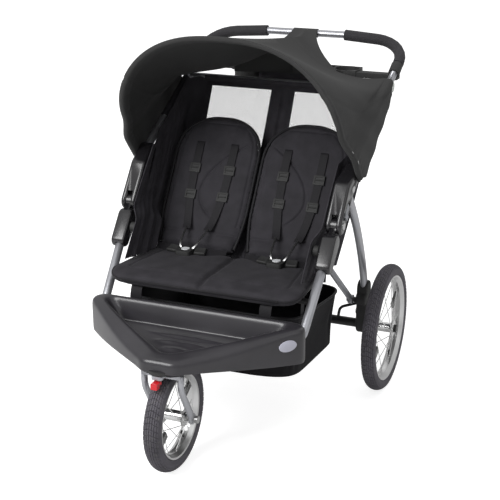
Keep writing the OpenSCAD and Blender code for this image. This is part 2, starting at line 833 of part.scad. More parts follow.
module axle_bracket() {
    neck = leg_foot_p + [-3, 22];
    ear_in = stay_x + stay_d / 2 + 2 * gap;
    difference() {
        union() {
            hull() {
                pill(bracket_x, neck, 23, bracket_w, 6);
                pill(bracket_x, rear_axle_p, 27, bracket_w, 6);
            }
            hull() {
                pill(bracket_x, leg_foot_p, 20, bracket_w, 6);
                pill(bracket_x, stay_foot_p, 14, bracket_w, 6);
            }
            x_cyl((ear_in + bracket_x) / 2, stay_foot_p, pin_d + 6, bracket_x - ear_in);
            x_cyl(bracket_x - bracket_w / 2 - 5, lever_pivot_p, lever_pin_d, 12);
        }
        leg_arc(gap);
        x_cyl(bracket_x, rear_axle_p, axle_d + 2 * gap, bracket_w + 2);
    }
}

module axle_bracket_left() { color("#1d1d1f") axle_bracket(); }
module axle_bracket_right() { color("#1d1d1f") on_side(-1) axle_bracket(); }

// Cross tube with stub axles, end caps and a bent brace to each bracket
module rear_axle() {
    inner = bracket_x - bracket_w / 2 - gap;
    hub_out = track / 2 + rear_hub_w / 2;
    cap_t = 8;
    brace_d = 9;
    brace_out = inner - brace_d * 0.2;
    color("#1d1d1f") {
        x_cyl(0, rear_axle_p, axle_tube_d, 2 * inner);
        x_cyl(0, rear_axle_p, axle_d, 2 * (hub_out + cap_t));
        for (s = [-1, 1]) on_side(s) {
            x_cyl(hub_out + gap + cap_t / 2, rear_axle_p, axle_d + 12, cap_t);
            bent_tube([
                place(inner - 64, rear_axle_p + [0, 4]),
                place(inner - 58, rear_axle_p + [0, 44]),
                place(brace_out, rear_axle_p + [0, 66])
            ], brace_d, 24);
        }
    }
}

// Foot lever that swings on the inner face of the bracket
module brake_lever() {
    plate_x = bracket_x - bracket_w / 2 - 5;
    plate_t = 8;
    pad_p = lever_pivot_p + [62, 6];
    difference() {
        union() {
            hull() {
                x_cyl(plate_x, lever_pivot_p, 22, plate_t, $fn = 32);
                x_cyl(plate_x, pad_p, 14, plate_t, $fn = 32);
            }
            x_cyl(plate_x - 6, pad_p, 16, 44);
        }
        x_cyl(plate_x, lever_pivot_p, lever_pin_d + 2 * pin_gap, 60);
    }
}

module brake_lever_left() { color("#2a2a2c") brake_lever(); }
module brake_lever_right() { color("#2a2a2c") on_side(-1) brake_lever(); }

// Folding stay from the front sleeve to the bracket
module stay() {
    eye_d = 28;
    difference() {
        union() {
            rod(place(stay_x, stay_top_p), place(stay_x, stay_foot_p), stay_d);
            for (p = [stay_top_p, stay_foot_p]) x_cyl(stay_x, p, eye_d, stay_d - 4);
            x_cyl(stay_x - stay_d / 2, stay_foot_p, 16, 6);
        }
        x_cyl(stay_x, stay_top_p, pin_d + 2 * pin_gap, stay_d + 2);
    }
}

module stay_left() { color("#b4b7bc") stay(); }
module stay_right() { color("#b4b7bc") on_side(-1) stay(); }

// Seats

// Steel seat frame welded between the front tubes
module seat_frame() {
    front_t = (rail_z - hinge_height) / down_front[1];
    front_y = frame_line(front_t)[1];
    front_x = frame_line(front_t)[0] - tube_d / 2 - gap;
    rear = rear_y + rear_rail_p[0];
    color("#3a3b3e") {
        rod([-front_x, front_y, rail_z], [front_x, front_y, rail_z], rail_d);
        for (s = [-1, 1]) rod([s * rail_x, front_y, rail_z], [s * rail_x, rear, rail_z], side_rail_d);
        rod([-rail_x - rail_d / 2, rear, rail_z], [rail_x + rail_d / 2, rear, rail_z], rail_d);
    }
}

// Height of the cushion top: two crowned seats with a sewn channel between them
function seat_lobe(x, half) = pow(max(0, sin(180 * min(1, abs(x) / half))), 0.5);
function seat_round(v) = pow(max(0, 1 - pow(abs(2 * v - 1), 6)), 0.5);
function seat_top(x, half, v) =
    seat_height - seat_fall * v - seat_crown + seat_crown * seat_lobe(x, half) * seat_round(v);

module seat_cushion() {
    cols = 25;
    rows = 9;
    low = rail_top + gap;
    draw_in = 0.985;
    half = function(v) mix(seat_w, seat_rear_w, v) / 2;
    grid = function(is_top) [for (j = [0:rows - 1]) [for (i = [0:cols - 1]) let (
        v = j / (rows - 1),
        x = half(v) * (2 * i / (cols - 1) - 1)
    ) [
        is_top ? x : x * draw_in,
        rear_y + seat_front_y + seat_depth * v,
        is_top ? seat_top(x, half(v), v) : low
    ]]];
    color("#2b2b2d") grid_solid(grid(false), grid(true));
}

// Backrest pad with a rounded head and a crowned face, on a cloth sleeve round the rear rail
pad_head = 0.72;
function pad_half(v) = back_half * (v < pad_head
    ? 0.94 + 0.06 * sin(125 * v)
    : sqrt(max(0.02, 1 - pow((v - pad_head) / 0.285, 2))));

module seat_back(x) {
    cols = 13;
    rows = 15;
    edge = 0.35;
    sleeve_half = 100;
    sleeve_d = rail_d + 2 * gap + 6;
    web = 5;
    seam_p = back_p + back_dir * 26 + back_normal * back_t / 2;
    aim = unit(seam_p - rear_rail_p);
    aside = [-aim[1], aim[0]];
    fullness = function(t, sharp) pow(max(0, 1 - pow(abs(t), sharp)), 0.6);
    swell = function(u, v) fullness(u, 4) * fullness(2 * v - 1, 8);
    point = function(u, v, off)
        place(x + u * pad_half(v), back_p + back_dir * back_length * v + back_normal * off);
    grid = function(is_back) [for (j = [0:rows - 1]) [for (i = [0:cols - 1]) let (
        u = 2 * i / (cols - 1) - 1,
        v = j / (rows - 1),
        s = swell(u, v)
    ) point(u, v, is_back ? back_t * (1 - edge + edge * s) : back_t * edge * (1 - s))]];
    color("#262628") difference() {
        union() {
            grid_solid(grid(true), grid(false));
            x_cyl(x, rear_rail_p, sleeve_d, 2 * sleeve_half);
            side_extrude(x, 2 * sleeve_half) polygon([
                rear_rail_p + aside * web, rear_rail_p - aside * web,
                seam_p - aside * web, seam_p + aside * web
            ]);
        }
        x_cyl(x, rear_rail_p, rail_d + 2 * gap, 2 * sleeve_half + 2);
    }
}

module seat_back_left() { seat_back(back_x); }
module seat_back_right() { seat_back(-back_x); }

// Shoulder straps with slide adjusters, lying on the face of a backrest
strap_w = 25;
strap_t = 3;
strap_low = 70;
strap_high = 330;

module on_back(x, along) {
    translate(place(x, back_p + back_dir * along)) rotate([back_angle, 0, 0]) children();
}

module harness(x) {
    spread = 38;
    adjuster = [34, 40, 7];
    color("#141415") for (s = [-1, 1]) on_back(x + s * spread, strap_low) {
        translate([-strap_w / 2, 0, gap]) cube([strap_w, strap_high - strap_low, strap_t]);
        translate([-adjuster[0] / 2, 70, gap]) cube(adjuster);
        translate([-adjuster[0] / 2, 190, gap]) cube(adjuster);
    }
}

module harness_left() { harness(back_x); }
module harness_right() { harness(-back_x); }

// Crotch strap, buckle and push button of one seat, lying on the cushion
seat_slope = atan2(-seat_fall, seat_depth);
buckle_y = -312;
buckle_size = [46, 54, 14];
button_d = 24;
button_travel = 3;
button_well = 9;

module on_seat(x, y) {
    v = (y - seat_front_y) / seat_depth;
    translate(place(x, [y, seat_height - seat_fall * v])) rotate([seat_slope, 0, 0]) children();
}

module crotch_strap(x) {
    color("#141415") on_seat(x, buckle_y)
        translate([-strap_w / 2, -60, gap]) cube([strap_w, 82, strap_t]);
}

module crotch_strap_left() { crotch_strap(back_x); }
module crotch_strap_right() { crotch_strap(-back_x); }

module buckle(x) {
    corner = 9;
    color("#1a1a1b") on_seat(x, buckle_y) translate([0, 0, strap_t + 2 * gap]) difference() {
        hull() for (sx = [-1, 1]) for (sy = [-1, 1])
            translate([sx * (buckle_size[0] / 2 - corner), sy * (buckle_size[1] / 2 - corner), 0])
                cylinder(r = corner, h = buckle_size[2], $fn = 32);
        translate([0, 0, buckle_size[2] - button_well]) cylinder(d = button_d + 2 * gap, h = button_well + 1);
    }
}

module buckle_left() { buckle(back_x); }
module buckle_right() { buckle(-back_x); }

module buckle_button(x) {
    seat = strap_t + 2 * gap + buckle_size[2] - button_well;
    color("#c4c6c9") on_seat(x, buckle_y) translate([0, 0, seat + button_travel + gap])
        cylinder(d = button_d, h = button_well - 1);
}

module buckle_button_left() { buckle_button(back_x); }
module buckle_button_right() { buckle_button(-back_x); }

// Side wing: cloth from the front tube and the handle to the cloth back, in upright folds
wing_x = side_x - tube_d / 2 - 4;
wing_rear_x = rail_x + 4;
wing_folds = 4;
wing_wave = 1.6;
function soft(t) = let (c = min(1, max(0, t))) c * c * (3 - 2 * c);

module side_wing() {
    rows = 9;
    cols = 21;
    sleeve_rear = [-down_front[1], down_front[0]];
    wing_t = 118;
    draw_from = 0.45;
    front_low = hinge_p + down_front * wing_t + sleeve_rear * (sleeve_low_r + 2 * gap);
    front_mid = hinge_p + [44, -10];
    front_top = hinge_p + [162, 131];
    rear_low = [seat_rear_y + 26, seat_height + 6];
    rear_top = cross_p + [-20, -8];
    front = function(t)
        t < 0.5 ? mix(front_low, front_mid, 2 * t) : mix(front_mid, front_top, 2 * t - 1);
    across = function(u, t) mix(wing_x, wing_rear_x, u * soft((t - draw_from) / (1 - draw_from)));
    point = function(i, j, off) let (u = i / (cols - 1), t = j / (rows - 1)) place(
        across(u, t) + wing_wave * sin(360 * wing_folds * u) + off,
        mix(front(t), mix(rear_low, rear_top, t), u));
    outer = [for (j = [0:rows - 1]) [for (i = [0:cols - 1]) point(i, j, cloth_t / 2)]];
    inner = [for (j = [0:rows - 1]) [for (i = [0:cols - 1]) point(i, j, -cloth_t / 2)]];
    grid_solid(inner, outer);
}

module side_wing_left() { color("#1f1f21") side_wing(); }
module side_wing_right() { color("#1f1f21") on_side(-1) side_wing(); }

// Cloth back that hangs from the cross bar behind the seats
module back_sling() {
    half = rail_x - 3;
    rows = 11;
    cols = 9;
    sag = 26;
    foot = [seat_rear_y + 62, rail_z + 6];
    fall = unit(foot - cross_p);
    rear = [-fall[1], fall[0]];
    top = cross_p + fall * (cross_d / 2 + gap);
    point = function(i, j, off) let (v = j / (rows - 1)) place(
        half * (2 * i / (cols - 1) - 1),
        mix(top, foot, v) + rear * (off + sag * sin(180 * v)));
    front = [for (j = [0:rows - 1]) [for (i = [0:cols - 1]) point(i, j, 0)]];
    back = [for (j = [0:rows - 1]) [for (i = [0:cols - 1]) point(i, j, cloth_t)]];
    color("#3c3d40") grid_solid(front, back);
}

// Basket: an open cloth tub slung under the seat frame
module basket_mass(r) {
    front_y = seat_front_y + 105;
    rear_y_low = -112;
    floor_z = rear_axle_p[1];
    top_x = rail_x - 25;
    hull() for (s = [-1, 1]) {
        translate(place(s * (rail_x - 36), [front_y, floor_z + 10])) sphere(r = r, $fn = 20);
        translate(place(s * (rail_x - 44), [rear_y_low, floor_z - 6])) sphere(r = r, $fn = 20);
        translate(place(s * top_x, [front_y - 8, rail_z - 16])) sphere(r = r, $fn = 20);
        translate(place(s * top_x, [rear_y_low + 6, rail_z - 36])) sphere(r = r, $fn = 20);
    }
}

module basket() {
    skin = 25;
    rim_front = rail_z - 34;
    rim_rear = rail_z - 96;
    loop_t = 4;
    loop_w = 28;
    loop_low = rim_rear + 26;
    color("#161617") {
        difference() {
            basket_mass(skin);
            basket_mass(skin - cloth_t);
            side_extrude(0, frame_w + 60) polygon([
                [-520, rim_front + 10], [-440, rim_front], [-90, rim_rear],
                [0, rim_rear], [0, hinge_height], [-520, hinge_height]
            ]);
        }
        for (s = [-1, 1]) on_side(s) for (y = [-410, -300])
            translate(place(rail_x - loop_t, [y - loop_w / 2, loop_low]))
                cube([loop_t, loop_w, rail_z - side_rail_d / 2 - gap - loop_low]);
    }
}

// Canopy: a strip bow on two pivots and one cloth cover back to the cross bar

// Share of the half width and of the height along the arch, from one foot to the other
arch_leg = 0.18;
arch_full = 0.8;
lean_from = 0.16;
function lean(k) = mix(1, bow_lean, soft((k - lean_from) / (bow_leg - lean_from)));
function half_arch(u) =
    u < arch_leg ? let (k = bow_leg * u / arch_leg) [lean(k), k]
    : let (t = 180 * (u - arch_leg) / (1 - 2 * arch_leg))
        [bow_lean * pow(cos(t), arch_full), bow_leg + (1 - bow_leg) * sin(t)];
function arch(u) = u <= 0.5 ? half_arch(u) : let (a = half_arch(1 - u)) [-a[0], a[1]];
// Height share of the cover's rear edge: low over the tubes and risen to the bar in the middle
rear_leg = 0.28;
rear_full = 2.2;
rear_ease = 1.5;
function rear_rise(a) = let (s = max(0, 1 - abs(a[0]) / bow_lean))
    min(a[1], rear_leg) * pow(1 - s, 2) + pow(s, rear_full);
function brim(k) = [-bow_dir[1], bow_dir[0]] * bow_bulge * sin(180 * k);

bow_top = bow_p + bow_dir * bow_length;
bow_forward = unit(bow_top - cover_top_rear);

module canopy_bow() {
    cols = 41;
    start = 0.01;
    strip = function(off, across) [for (i = [0:cols - 1]) let (
        a = arch(start + (1 - 2 * start) * i / (cols - 1))
    ) place((bow_x + off) * a[0],
        bow_p + bow_dir * (bow_length + off) * a[1] + brim(a[1]) + bow_forward * across)];
    color("#1a1a1b") difference() {
        union() {
            grid_solid(
                [strip(bow_t / 2, bow_strip_w / 2), strip(bow_t / 2, -bow_strip_w / 2)],
                [strip(-bow_t / 2, bow_strip_w / 2), strip(-bow_t / 2, -bow_strip_w / 2)]);
            for (s = [-1, 1]) x_cyl(s * bow_x, bow_p, bow_strip_w + 6, bow_t);
        }
        x_cyl(0, bow_p, bow_pin_d + 2 * pin_gap, 3 * bow_x);
    }
}

module canopy_cover() {
    cols = 33;
    rows = 10;
    lift = 6;
    lead = bow_strip_w / 2 + 2;
    foot = function(v) mix(bow_p + bow_forward * lead, cover_rear_p, v);
    crown = function(v) mix(bow_p + bow_forward * lead + bow_dir * (bow_length + lift), cover_top_rear, v);
    half = function(v) mix(cover_inner + 2, cover_rear_x, v);
    point = function(u, v, off) let (
        a = arch(u),
        rise = mix(a[1], rear_rise(a), pow(v, rear_ease)),
        up = unit(crown(v) - foot(v))
    ) place((half(v) + off) * a[0],
        foot(v) + (crown(v) - foot(v)) * rise + up * off * a[1] + brim(a[1]) * (1 - v));
    grid = function(off) [for (j = [0:rows - 1]) [for (i = [0:cols - 1])
        point(i / (cols - 1), j / (rows - 1), off)]];
    color("#2a2a2d") grid_solid(grid(cloth_t), grid(0));
}

frame_tube_left();
frame_tube_right();
head_bracket();
footwell();
hinge_sleeve_left();
hinge_sleeve_right();
seat_frame();
seat_cushion();
seat_back_left();
seat_back_right();
harness_left();
harness_right();
crotch_strap_left();
crotch_strap_right();
buckle_left();
buckle_right();
buckle_button_left();
buckle_button_right();
side_wing_left();
side_wing_right();
basket();
handle_tube_left();
handle_tube_right();
handlebar();
grip_left();
grip_right();
hinge_housing_left();
hinge_housing_right();
fold_lever_left();
fold_lever_right();
cross_bar();
parent_tray();
back_sling();
canopy_bow();
canopy_cover();
rear_leg_left();
rear_leg_right();
axle_bracket_left();
axle_bracket_right();
rear_axle();
brake_lever_left();
brake_lever_right();
stay_left();
stay_right();
rear_tyre_left();
rear_tyre_right();
rear_rim_left();
rear_rim_right();
rear_hub_left();
rear_hub_right();
brake_disc_left();
brake_disc_right();
front_fork();
front_axle();
front_tyre();
front_rim();
front_hub();
swivel_lock();
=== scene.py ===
"""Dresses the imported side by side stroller: pads, cloth, webbing, tyres, finishes, studio and camera."""

import json
import logging
import math
from collections.abc import Callable, Sequence
from dataclasses import dataclass
from enum import Enum

import bpy
import numpy as np
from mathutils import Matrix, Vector

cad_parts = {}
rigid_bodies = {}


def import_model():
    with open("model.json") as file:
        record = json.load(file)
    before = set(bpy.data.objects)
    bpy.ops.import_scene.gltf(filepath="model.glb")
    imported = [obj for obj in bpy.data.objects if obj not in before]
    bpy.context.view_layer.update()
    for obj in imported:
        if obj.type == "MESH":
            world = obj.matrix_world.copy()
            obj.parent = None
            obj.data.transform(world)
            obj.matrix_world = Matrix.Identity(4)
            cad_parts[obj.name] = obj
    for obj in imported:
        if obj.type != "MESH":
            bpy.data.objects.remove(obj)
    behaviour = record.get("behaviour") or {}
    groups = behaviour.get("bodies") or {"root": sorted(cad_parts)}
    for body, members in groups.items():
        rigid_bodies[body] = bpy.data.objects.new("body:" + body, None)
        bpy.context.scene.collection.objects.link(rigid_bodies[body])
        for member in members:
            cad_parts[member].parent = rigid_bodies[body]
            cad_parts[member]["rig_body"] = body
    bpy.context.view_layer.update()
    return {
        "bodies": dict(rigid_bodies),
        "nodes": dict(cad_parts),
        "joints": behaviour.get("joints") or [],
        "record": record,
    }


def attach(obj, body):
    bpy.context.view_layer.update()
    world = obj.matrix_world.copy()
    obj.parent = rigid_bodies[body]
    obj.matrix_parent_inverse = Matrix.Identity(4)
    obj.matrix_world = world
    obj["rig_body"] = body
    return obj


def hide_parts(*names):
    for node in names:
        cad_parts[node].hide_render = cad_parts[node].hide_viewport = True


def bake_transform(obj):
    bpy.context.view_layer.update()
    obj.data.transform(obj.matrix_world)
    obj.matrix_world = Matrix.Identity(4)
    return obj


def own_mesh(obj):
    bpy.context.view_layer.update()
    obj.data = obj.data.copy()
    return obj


LOG = logging.getLogger("stroller")
MM = 0.001
REAR_AXLE_Y = 258.5
ACROSS = Vector((1, 0, 0))
TUBE_FOOT = (-217.0, 715.6)
TUBE_RISE = 0.5635
TUBE_NORMAL = (-0.4909, 0.8712)
Colour = tuple[float, float, float, float]
Triple = tuple[float, float, float]
Twin = tuple[float, float]
Obj = bpy.types.Object
Socket = bpy.types.NodeSocket


class Side(Enum):
    """A side of the stroller, with its sign along X."""

    LEFT = 1
    RIGHT = -1

    @property
    def word(self) -> str:
        """The side's word in node and body names."""
        return self.name.lower()


class Pattern(Enum):
    """Surface effects that several finishes share."""

    WEAVE = "cloth_weave"
    GRAIN = "moulded_grain"
    SCUFF = "scuffs_and_dust"


class Coords(Enum):
    """What a finish's pattern follows."""

    OBJECT = "Object"
    UV = "UV"


def at(x: float, y: float, z: float) -> Vector:
    """Turn millimetres from the rear axle's foot into the part's frame.

    Args:
        x: Distance to the left of the middle.
        y: Distance behind the rear axle.
        z: Height above the ground.

    Returns:
        The point in metres.
    """
    return Vector((x * MM, (y + REAR_AXLE_Y) * MM, z * MM))


def mix(a: float, b: float, t: float) -> float:
    """Blend two numbers by the share t of the second."""
    return a + (b - a) * t


def ease(t: float) -> float:
    """Smooth step from 0 to 1, held outside that range."""
    t = min(1.0, max(0.0, t))
    return t * t * (3 - 2 * t)


def along(a: Sequence[float], b: Sequence[float], t: float) -> list[float]:
    """Point at the share t of the way from a to b."""
    return [mix(p, q, t) for p, q in zip(a, b)]


def pair(stem: str) -> tuple[str, str]:
    """A node's names on both sides."""
    return stem + "_left", stem + "_right"


def tube_height(y: float) -> float:
    """Height of the handle tube's middle at a distance behind the rear axle."""
    return TUBE_FOOT[1] + (y - TUBE_FOOT[0]) * TUBE_RISE


def squared(value: float, power: float) -> float:
    """Push a sine or cosine towards its ends, which turns a ring into a rounded square."""
    return math.copysign(abs(value) ** power, value)


def grey(value: float, warm: float = 0.0) -> Colour:
    """A near grey with its red lifted and its blue lowered by warm."""
    return (value * (1 + warm), value, value * (1 - warm), 1.0)


def black(value: float) -> Colour:
    """A near black with the faint violet cast of dyed cloth and plastic."""
    return (value * 1.03, value * 0.97, value * 1.13, 1.0)


class Tree:
    """A node tree with short calls to add, link and combine nodes."""

    def __init__(self, tree: bpy.types.NodeTree) -> None:
        """Keep the tree that the calls work on."""
        self.tree = tree

    def feed(self, node: bpy.types.Node, inputs: dict) -> bpy.types.Node:
        """Set or link a node's inputs.

        Args:
            node: The node.
            inputs: Values or sockets for its inputs, by name or number.

        Returns:
            The node.
        """
        for key, value in inputs.items():
            if isinstance(value, Socket):
                self.tree.links.new(value, node.inputs[key])
            else:
                node.inputs[key].default_value = value
        return node

    def add(self, kind: str, inputs: dict | None = None, **settings: object) -> bpy.types.Node:
        """Add a node.

        Args:
            kind: Blender's name of the node type.
            inputs: Values or sockets for its inputs, by name or number.
            settings: Properties of the node itself.

        Returns:
            The new node.
        """
        node = self.tree.nodes.new(kind)
        for key, value in settings.items():
            setattr(node, key, value)
        return self.feed(node, inputs or {})

    def math(self, operation: str, a: object, b: object = 0.0, c: object = 0.0) -> Socket:
        """Combine up to three values or sockets with a Math node."""
        return self.add("ShaderNodeMath", {0: a, 1: b, 2: c}, operation=operation).outputs[0]

    def mixed(self, share: object, a: object, b: object) -> Socket:
        """Blend two colours by a share."""
        return self.add("ShaderNodeMix", {0: share, 6: a, 7: b}, data_type="RGBA").outputs[2]

    def ranged(
        self, value: object, low: float, high: float, to_low: float = 0.0, to_high: float = 1.0
    ) -> Socket:
        """Map a value from one range to another, held at the ends."""
        inputs = {"Value": value, "From Min": low, "From Max": high, "To Min": to_low, "To Max": to_high}
        return self.add("ShaderNodeMapRange", inputs).outputs[0]

    def noise(self, vector: Socket, scale: object, detail: float, **more: float) -> Socket:
        """Place a noise and return its value."""
        inputs = {"Vector": vector, "Scale": scale, "Detail": detail, **more}
        return self.add("ShaderNodeTexNoise", inputs).outputs[0]

    def split(self, vector: Socket) -> Sequence[Socket]:
        """Part a vector into its three values."""
        return self.add("ShaderNodeSeparateXYZ", {0: vector}).outputs


class PatternBook:
    """Builds each shared pattern once, as a node group."""

    def __init__(self) -> None:
        """Start with no groups."""
        self.groups: dict[Pattern, bpy.types.NodeTree] = {}

    def get(self, pattern: Pattern) -> bpy.types.NodeTree:
        """Return a pattern's group, built on first use."""
        if pattern not in self.groups:
            makers = {Pattern.WEAVE: self.weave, Pattern.GRAIN: self.grain, Pattern.SCUFF: self.scuff}
            self.groups[pattern] = makers[pattern]()
        return self.groups[pattern]

    @staticmethod
    def start(name: str, values: dict[str, float], outputs: Sequence[str]) -> tuple:
        """Make an empty group with a vector input.

        Args:
            name: The group's name.
            values: Its number inputs and their defaults.
            outputs: Its number outputs.

        Returns:
            The group's tree, the sockets of its inputs and its output node.
        """
        group = bpy.data.node_groups.new(name, "ShaderNodeTree")
        group.interface.new_socket("Vector", in_out="INPUT", socket_type="NodeSocketVector")
        for key, value in values.items():
            socket = group.interface.new_socket(key, in_out="INPUT", socket_type="NodeSocketFloat")
            socket.default_value = value
        for key in outputs:
            group.interface.new_socket(key, in_out="OUTPUT", socket_type="NodeSocketFloat")
        tree = Tree(group)
        return tree, tree.add("NodeGroupInput").outputs, tree.add("NodeGroupOutput")

    def weave(self) -> bpy.types.NodeTree:
        """Plain weave: threads over and under, with uneven dye."""
        tree, given, out = self.start(Pattern.WEAVE.value, {"Threads": 800.0}, ("Height", "Tone"))
        parts = tree.split(given["Vector"])
        waves = []
        for axis in (0, 1):
            turns = tree.math("MULTIPLY", parts[axis], given["Threads"])
            waves.append(tree.math("SINE", tree.math("MULTIPLY", turns, math.pi)))
        height = tree.math("MULTIPLY_ADD", tree.math("MULTIPLY", *waves), 0.5, 0.5)
        cloudy = tree.ranged(tree.noise(given["Vector"], 26.0, 5.0), 0.3, 0.7, 0.0, 0.55)
        flecked = tree.math("MULTIPLY_ADD", tree.noise(given["Vector"], 420.0, 2.0), 0.3, cloudy)
        tree.feed(out, {"Height": height, "Tone": tree.math("MULTIPLY_ADD", height, 0.15, flecked)})
        return tree.tree

    def grain(self) -> bpy.types.NodeTree:
        """Fine moulded or sprayed grain with slow drifts in tone."""
        tree, given, out = self.start(Pattern.GRAIN.value, {"Scale": 900.0}, ("Height", "Tone"))
        fine = tree.noise(given["Vector"], given["Scale"], 4.0)
        slow = tree.noise(given["Vector"], 9.0, 3.0)
        tree.feed(out, {"Height": fine, "Tone": tree.ranged(slow, 0.3, 0.7)})
        return tree.tree

    def scuff(self) -> bpy.types.NodeTree:
        """Patches of rubbing and dust, from none to all over by Amount."""
        tree, given, out = self.start(Pattern.SCUFF.value, {"Scale": 30.0, "Amount": 0.3}, ("Mask",))
        patches = tree.noise(given["Vector"], given["Scale"], 7.0, Roughness=0.62, Distortion=0.35)
        edge = tree.math("SUBTRACT", 0.86, tree.math("MULTIPLY", given["Amount"], 0.5))
        tree.feed(out, {"Mask": tree.ranged(tree.math("SUBTRACT", patches, edge), -0.06, 0.12)})
        return tree.tree


BOOK = PatternBook()


@dataclass(frozen=True)
class Finish:
    """What every finish has: a name, two tones, and a way to build its material once."""

    name: str
    low: Colour
    high: Colour

    def patterned(self, tree: Tree, kind: Pattern, vector: Socket, **values: float) -> Sequence[Socket]:
        """Place a shared pattern in a material.

        Args:
            tree: The material's tree.
            kind: Which pattern.
            vector: The socket that it follows.
            values: Its number inputs.

        Returns:
            The pattern's outputs.
        """
        node = tree.add("ShaderNodeGroup", node_tree=BOOK.get(kind))
        return tree.feed(node, {"Vector": vector, **values}).outputs

    def place(
        self, tree: Tree, coords: Coords = Coords.OBJECT, turn: Triple = (0.0, 0.0, 0.0)
    ) -> Socket:
        """Return the vector that a pattern follows, turned on the piece."""
        source = tree.add("ShaderNodeTexCoord").outputs[coords.value]
        turned = tuple(math.radians(a) for a in turn)
        return tree.add("ShaderNodeMapping", {"Vector": source, "Rotation": turned}).outputs[0]

    def relief(self, tree: Tree, height: Socket, depth: float, strength: float) -> Socket:
        """Turn a height into a normal through a Bump node."""
        inputs = {"Height": height, "Distance": depth, "Strength": strength}
        return tree.add("ShaderNodeBump", inputs).outputs[0]

    def rubbed_grain(
        self, tree: Tree, grain: float, patches: float, amount: float, share: float, over: Colour
    ) -> tuple[Socket, Socket, Socket]:
        """Grain a hard finish and rub it in patches.

        Args:
            tree: The material's tree.
            grain: Scale of the grain.
            patches: Scale of the rubbed patches.
            amount: How much is rubbed.
            share: How far a rubbed place goes over to the other colour.
            over: That colour.

        Returns:
            The colour, the grain's height and the mask of the rubbed places.
        """
        vector = self.place(tree)
        fine = self.patterned(tree, Pattern.GRAIN, vector, Scale=grain)
        mask = self.patterned(tree, Pattern.SCUFF, vector, Scale=patches, Amount=amount)["Mask"]
        shade = tree.mixed(fine["Tone"], self.low, self.high)
        return tree.mixed(tree.math("MULTIPLY", mask, share), shade, over), fine["Height"], mask

    def inputs(self, tree: Tree) -> dict:
        """Build the nodes and return what feeds the main shader."""
        raise NotImplementedError

    def get(self) -> bpy.types.Material:
        """Return the material, built on first use."""
        material = bpy.data.materials.get(self.name)
        if material is None:
            material = bpy.data.materials.new(self.name)
            material.use_nodes = True
            tree = Tree(material.node_tree)
            tree.feed(material.node_tree.nodes["Principled BSDF"], self.inputs(tree))
        return material


@dataclass(frozen=True)
class Cloth(Finish):
    """Woven cloth with thread relief, uneven dye and a soft sheen."""

    threads: float = 900.0
    rough: float = 0.78
    sheen: float = 0.25
    coords: Coords = Coords.OBJECT
    turn: Triple = (0.0, 0.0, 0.0)
    depth: float = 0.0002
    specular: float = 0.16
    sheen_rough: float = 0.45
    bump: float = 0.6

    def colour(self, tree: Tree, tone: Socket) -> Socket:
        """Colour of the cloth by the weave's tone."""
        return tree.mixed(tone, self.low, self.high)

    def inputs(self, tree: Tree) -> dict:
        """Build the cloth."""
        vector = self.place(tree, self.coords, self.turn)
        weave = self.patterned(tree, Pattern.WEAVE, vector, Threads=self.threads)
        return {
            "Base Color": self.colour(tree, weave["Tone"]),
            "Roughness": tree.ranged(weave["Tone"], 0.0, 1.0, self.rough - 0.08, self.rough + 0.1),
            "Sheen Weight": self.sheen,
            "Sheen Roughness": self.sheen_rough,
            "Specular IOR Level": self.specular,
            "Normal": self.relief(tree, weave["Height"], self.depth, self.bump),
        }


@dataclass(frozen=True)
class PanelCloth(Cloth):
    """Canopy cloth in two tones, parted by the piece's own panel attribute."""

    panel_low: Colour = black(0.016)
    panel_high: Colour = black(0.032)

    def colour(self, tree: Tree, tone: Socket) -> Socket:
        """Colour of the upper cloth or of the side panel."""
        panel = tree.add("ShaderNodeAttribute", attribute_name="panel").outputs["Fac"]
        side = tree.mixed(tone, self.panel_low, self.panel_high)
        return tree.mixed(panel, super().colour(tree, tone), side)


@dataclass(frozen=True)
class Net(Finish):
    """Open knitted net: thin threads with clear holes between them."""

    pitch: float = 0.0022
    thread: float = 0.58

    def inputs(self, tree: Tree) -> dict:
        """Build the net."""
        vector = self.place(tree, Coords.UV, (0.0, 0.0, 30.0))
        parts = tree.split(vector)
        lines = []
        for axis in (0, 1):
            cell = tree.math("FRACT", tree.math("DIVIDE", parts[axis], self.pitch))
            lines.append(tree.math("LESS_THAN", cell, self.thread * 0.5))
        grain = self.patterned(tree, Pattern.GRAIN, vector, Scale=500.0)
        return {
            "Base Color": tree.mixed(grain["Tone"], self.low, self.high),
            "Alpha": tree.math("MAXIMUM", *lines),
            "Roughness": tree.ranged(grain["Height"], 0.0, 1.0, 0.6, 0.85),
        }


@dataclass(frozen=True)
class Webbing(Finish):
    """Narrow woven tape with ribs along its length and herringbone across."""

    rib: float = 0.0021

    def inputs(self, tree: Tree) -> dict:
        """Build the tape."""
        vector = self.place(tree, Coords.UV)
        parts = tree.split(vector)
        ribs = tree.math("PINGPONG", tree.math("DIVIDE", parts[0], self.rib), 1.0)
        slant = tree.math("ADD", tree.math("DIVIDE", parts[1], self.rib * 0.7), ribs)
        height = tree.math("MULTIPLY", tree.math("ADD", ribs, tree.math("PINGPONG", slant, 1.0)), 0.5)
        weave = self.patterned(tree, Pattern.WEAVE, vector, Threads=1400.0)
        tone = tree.math("MULTIPLY", tree.math("ADD", height, weave["Tone"]), 0.5)
        return {
            "Base Color": tree.mixed(tone, self.low, self.high),
            "Roughness": tree.ranged(tone, 0.0, 1.0, 0.5, 0.72),
            "Sheen Weight": 0.03,
            "Specular IOR Level": 0.16,
            "Normal": self.relief(tree, height, 0.0005, 0.7),
        }


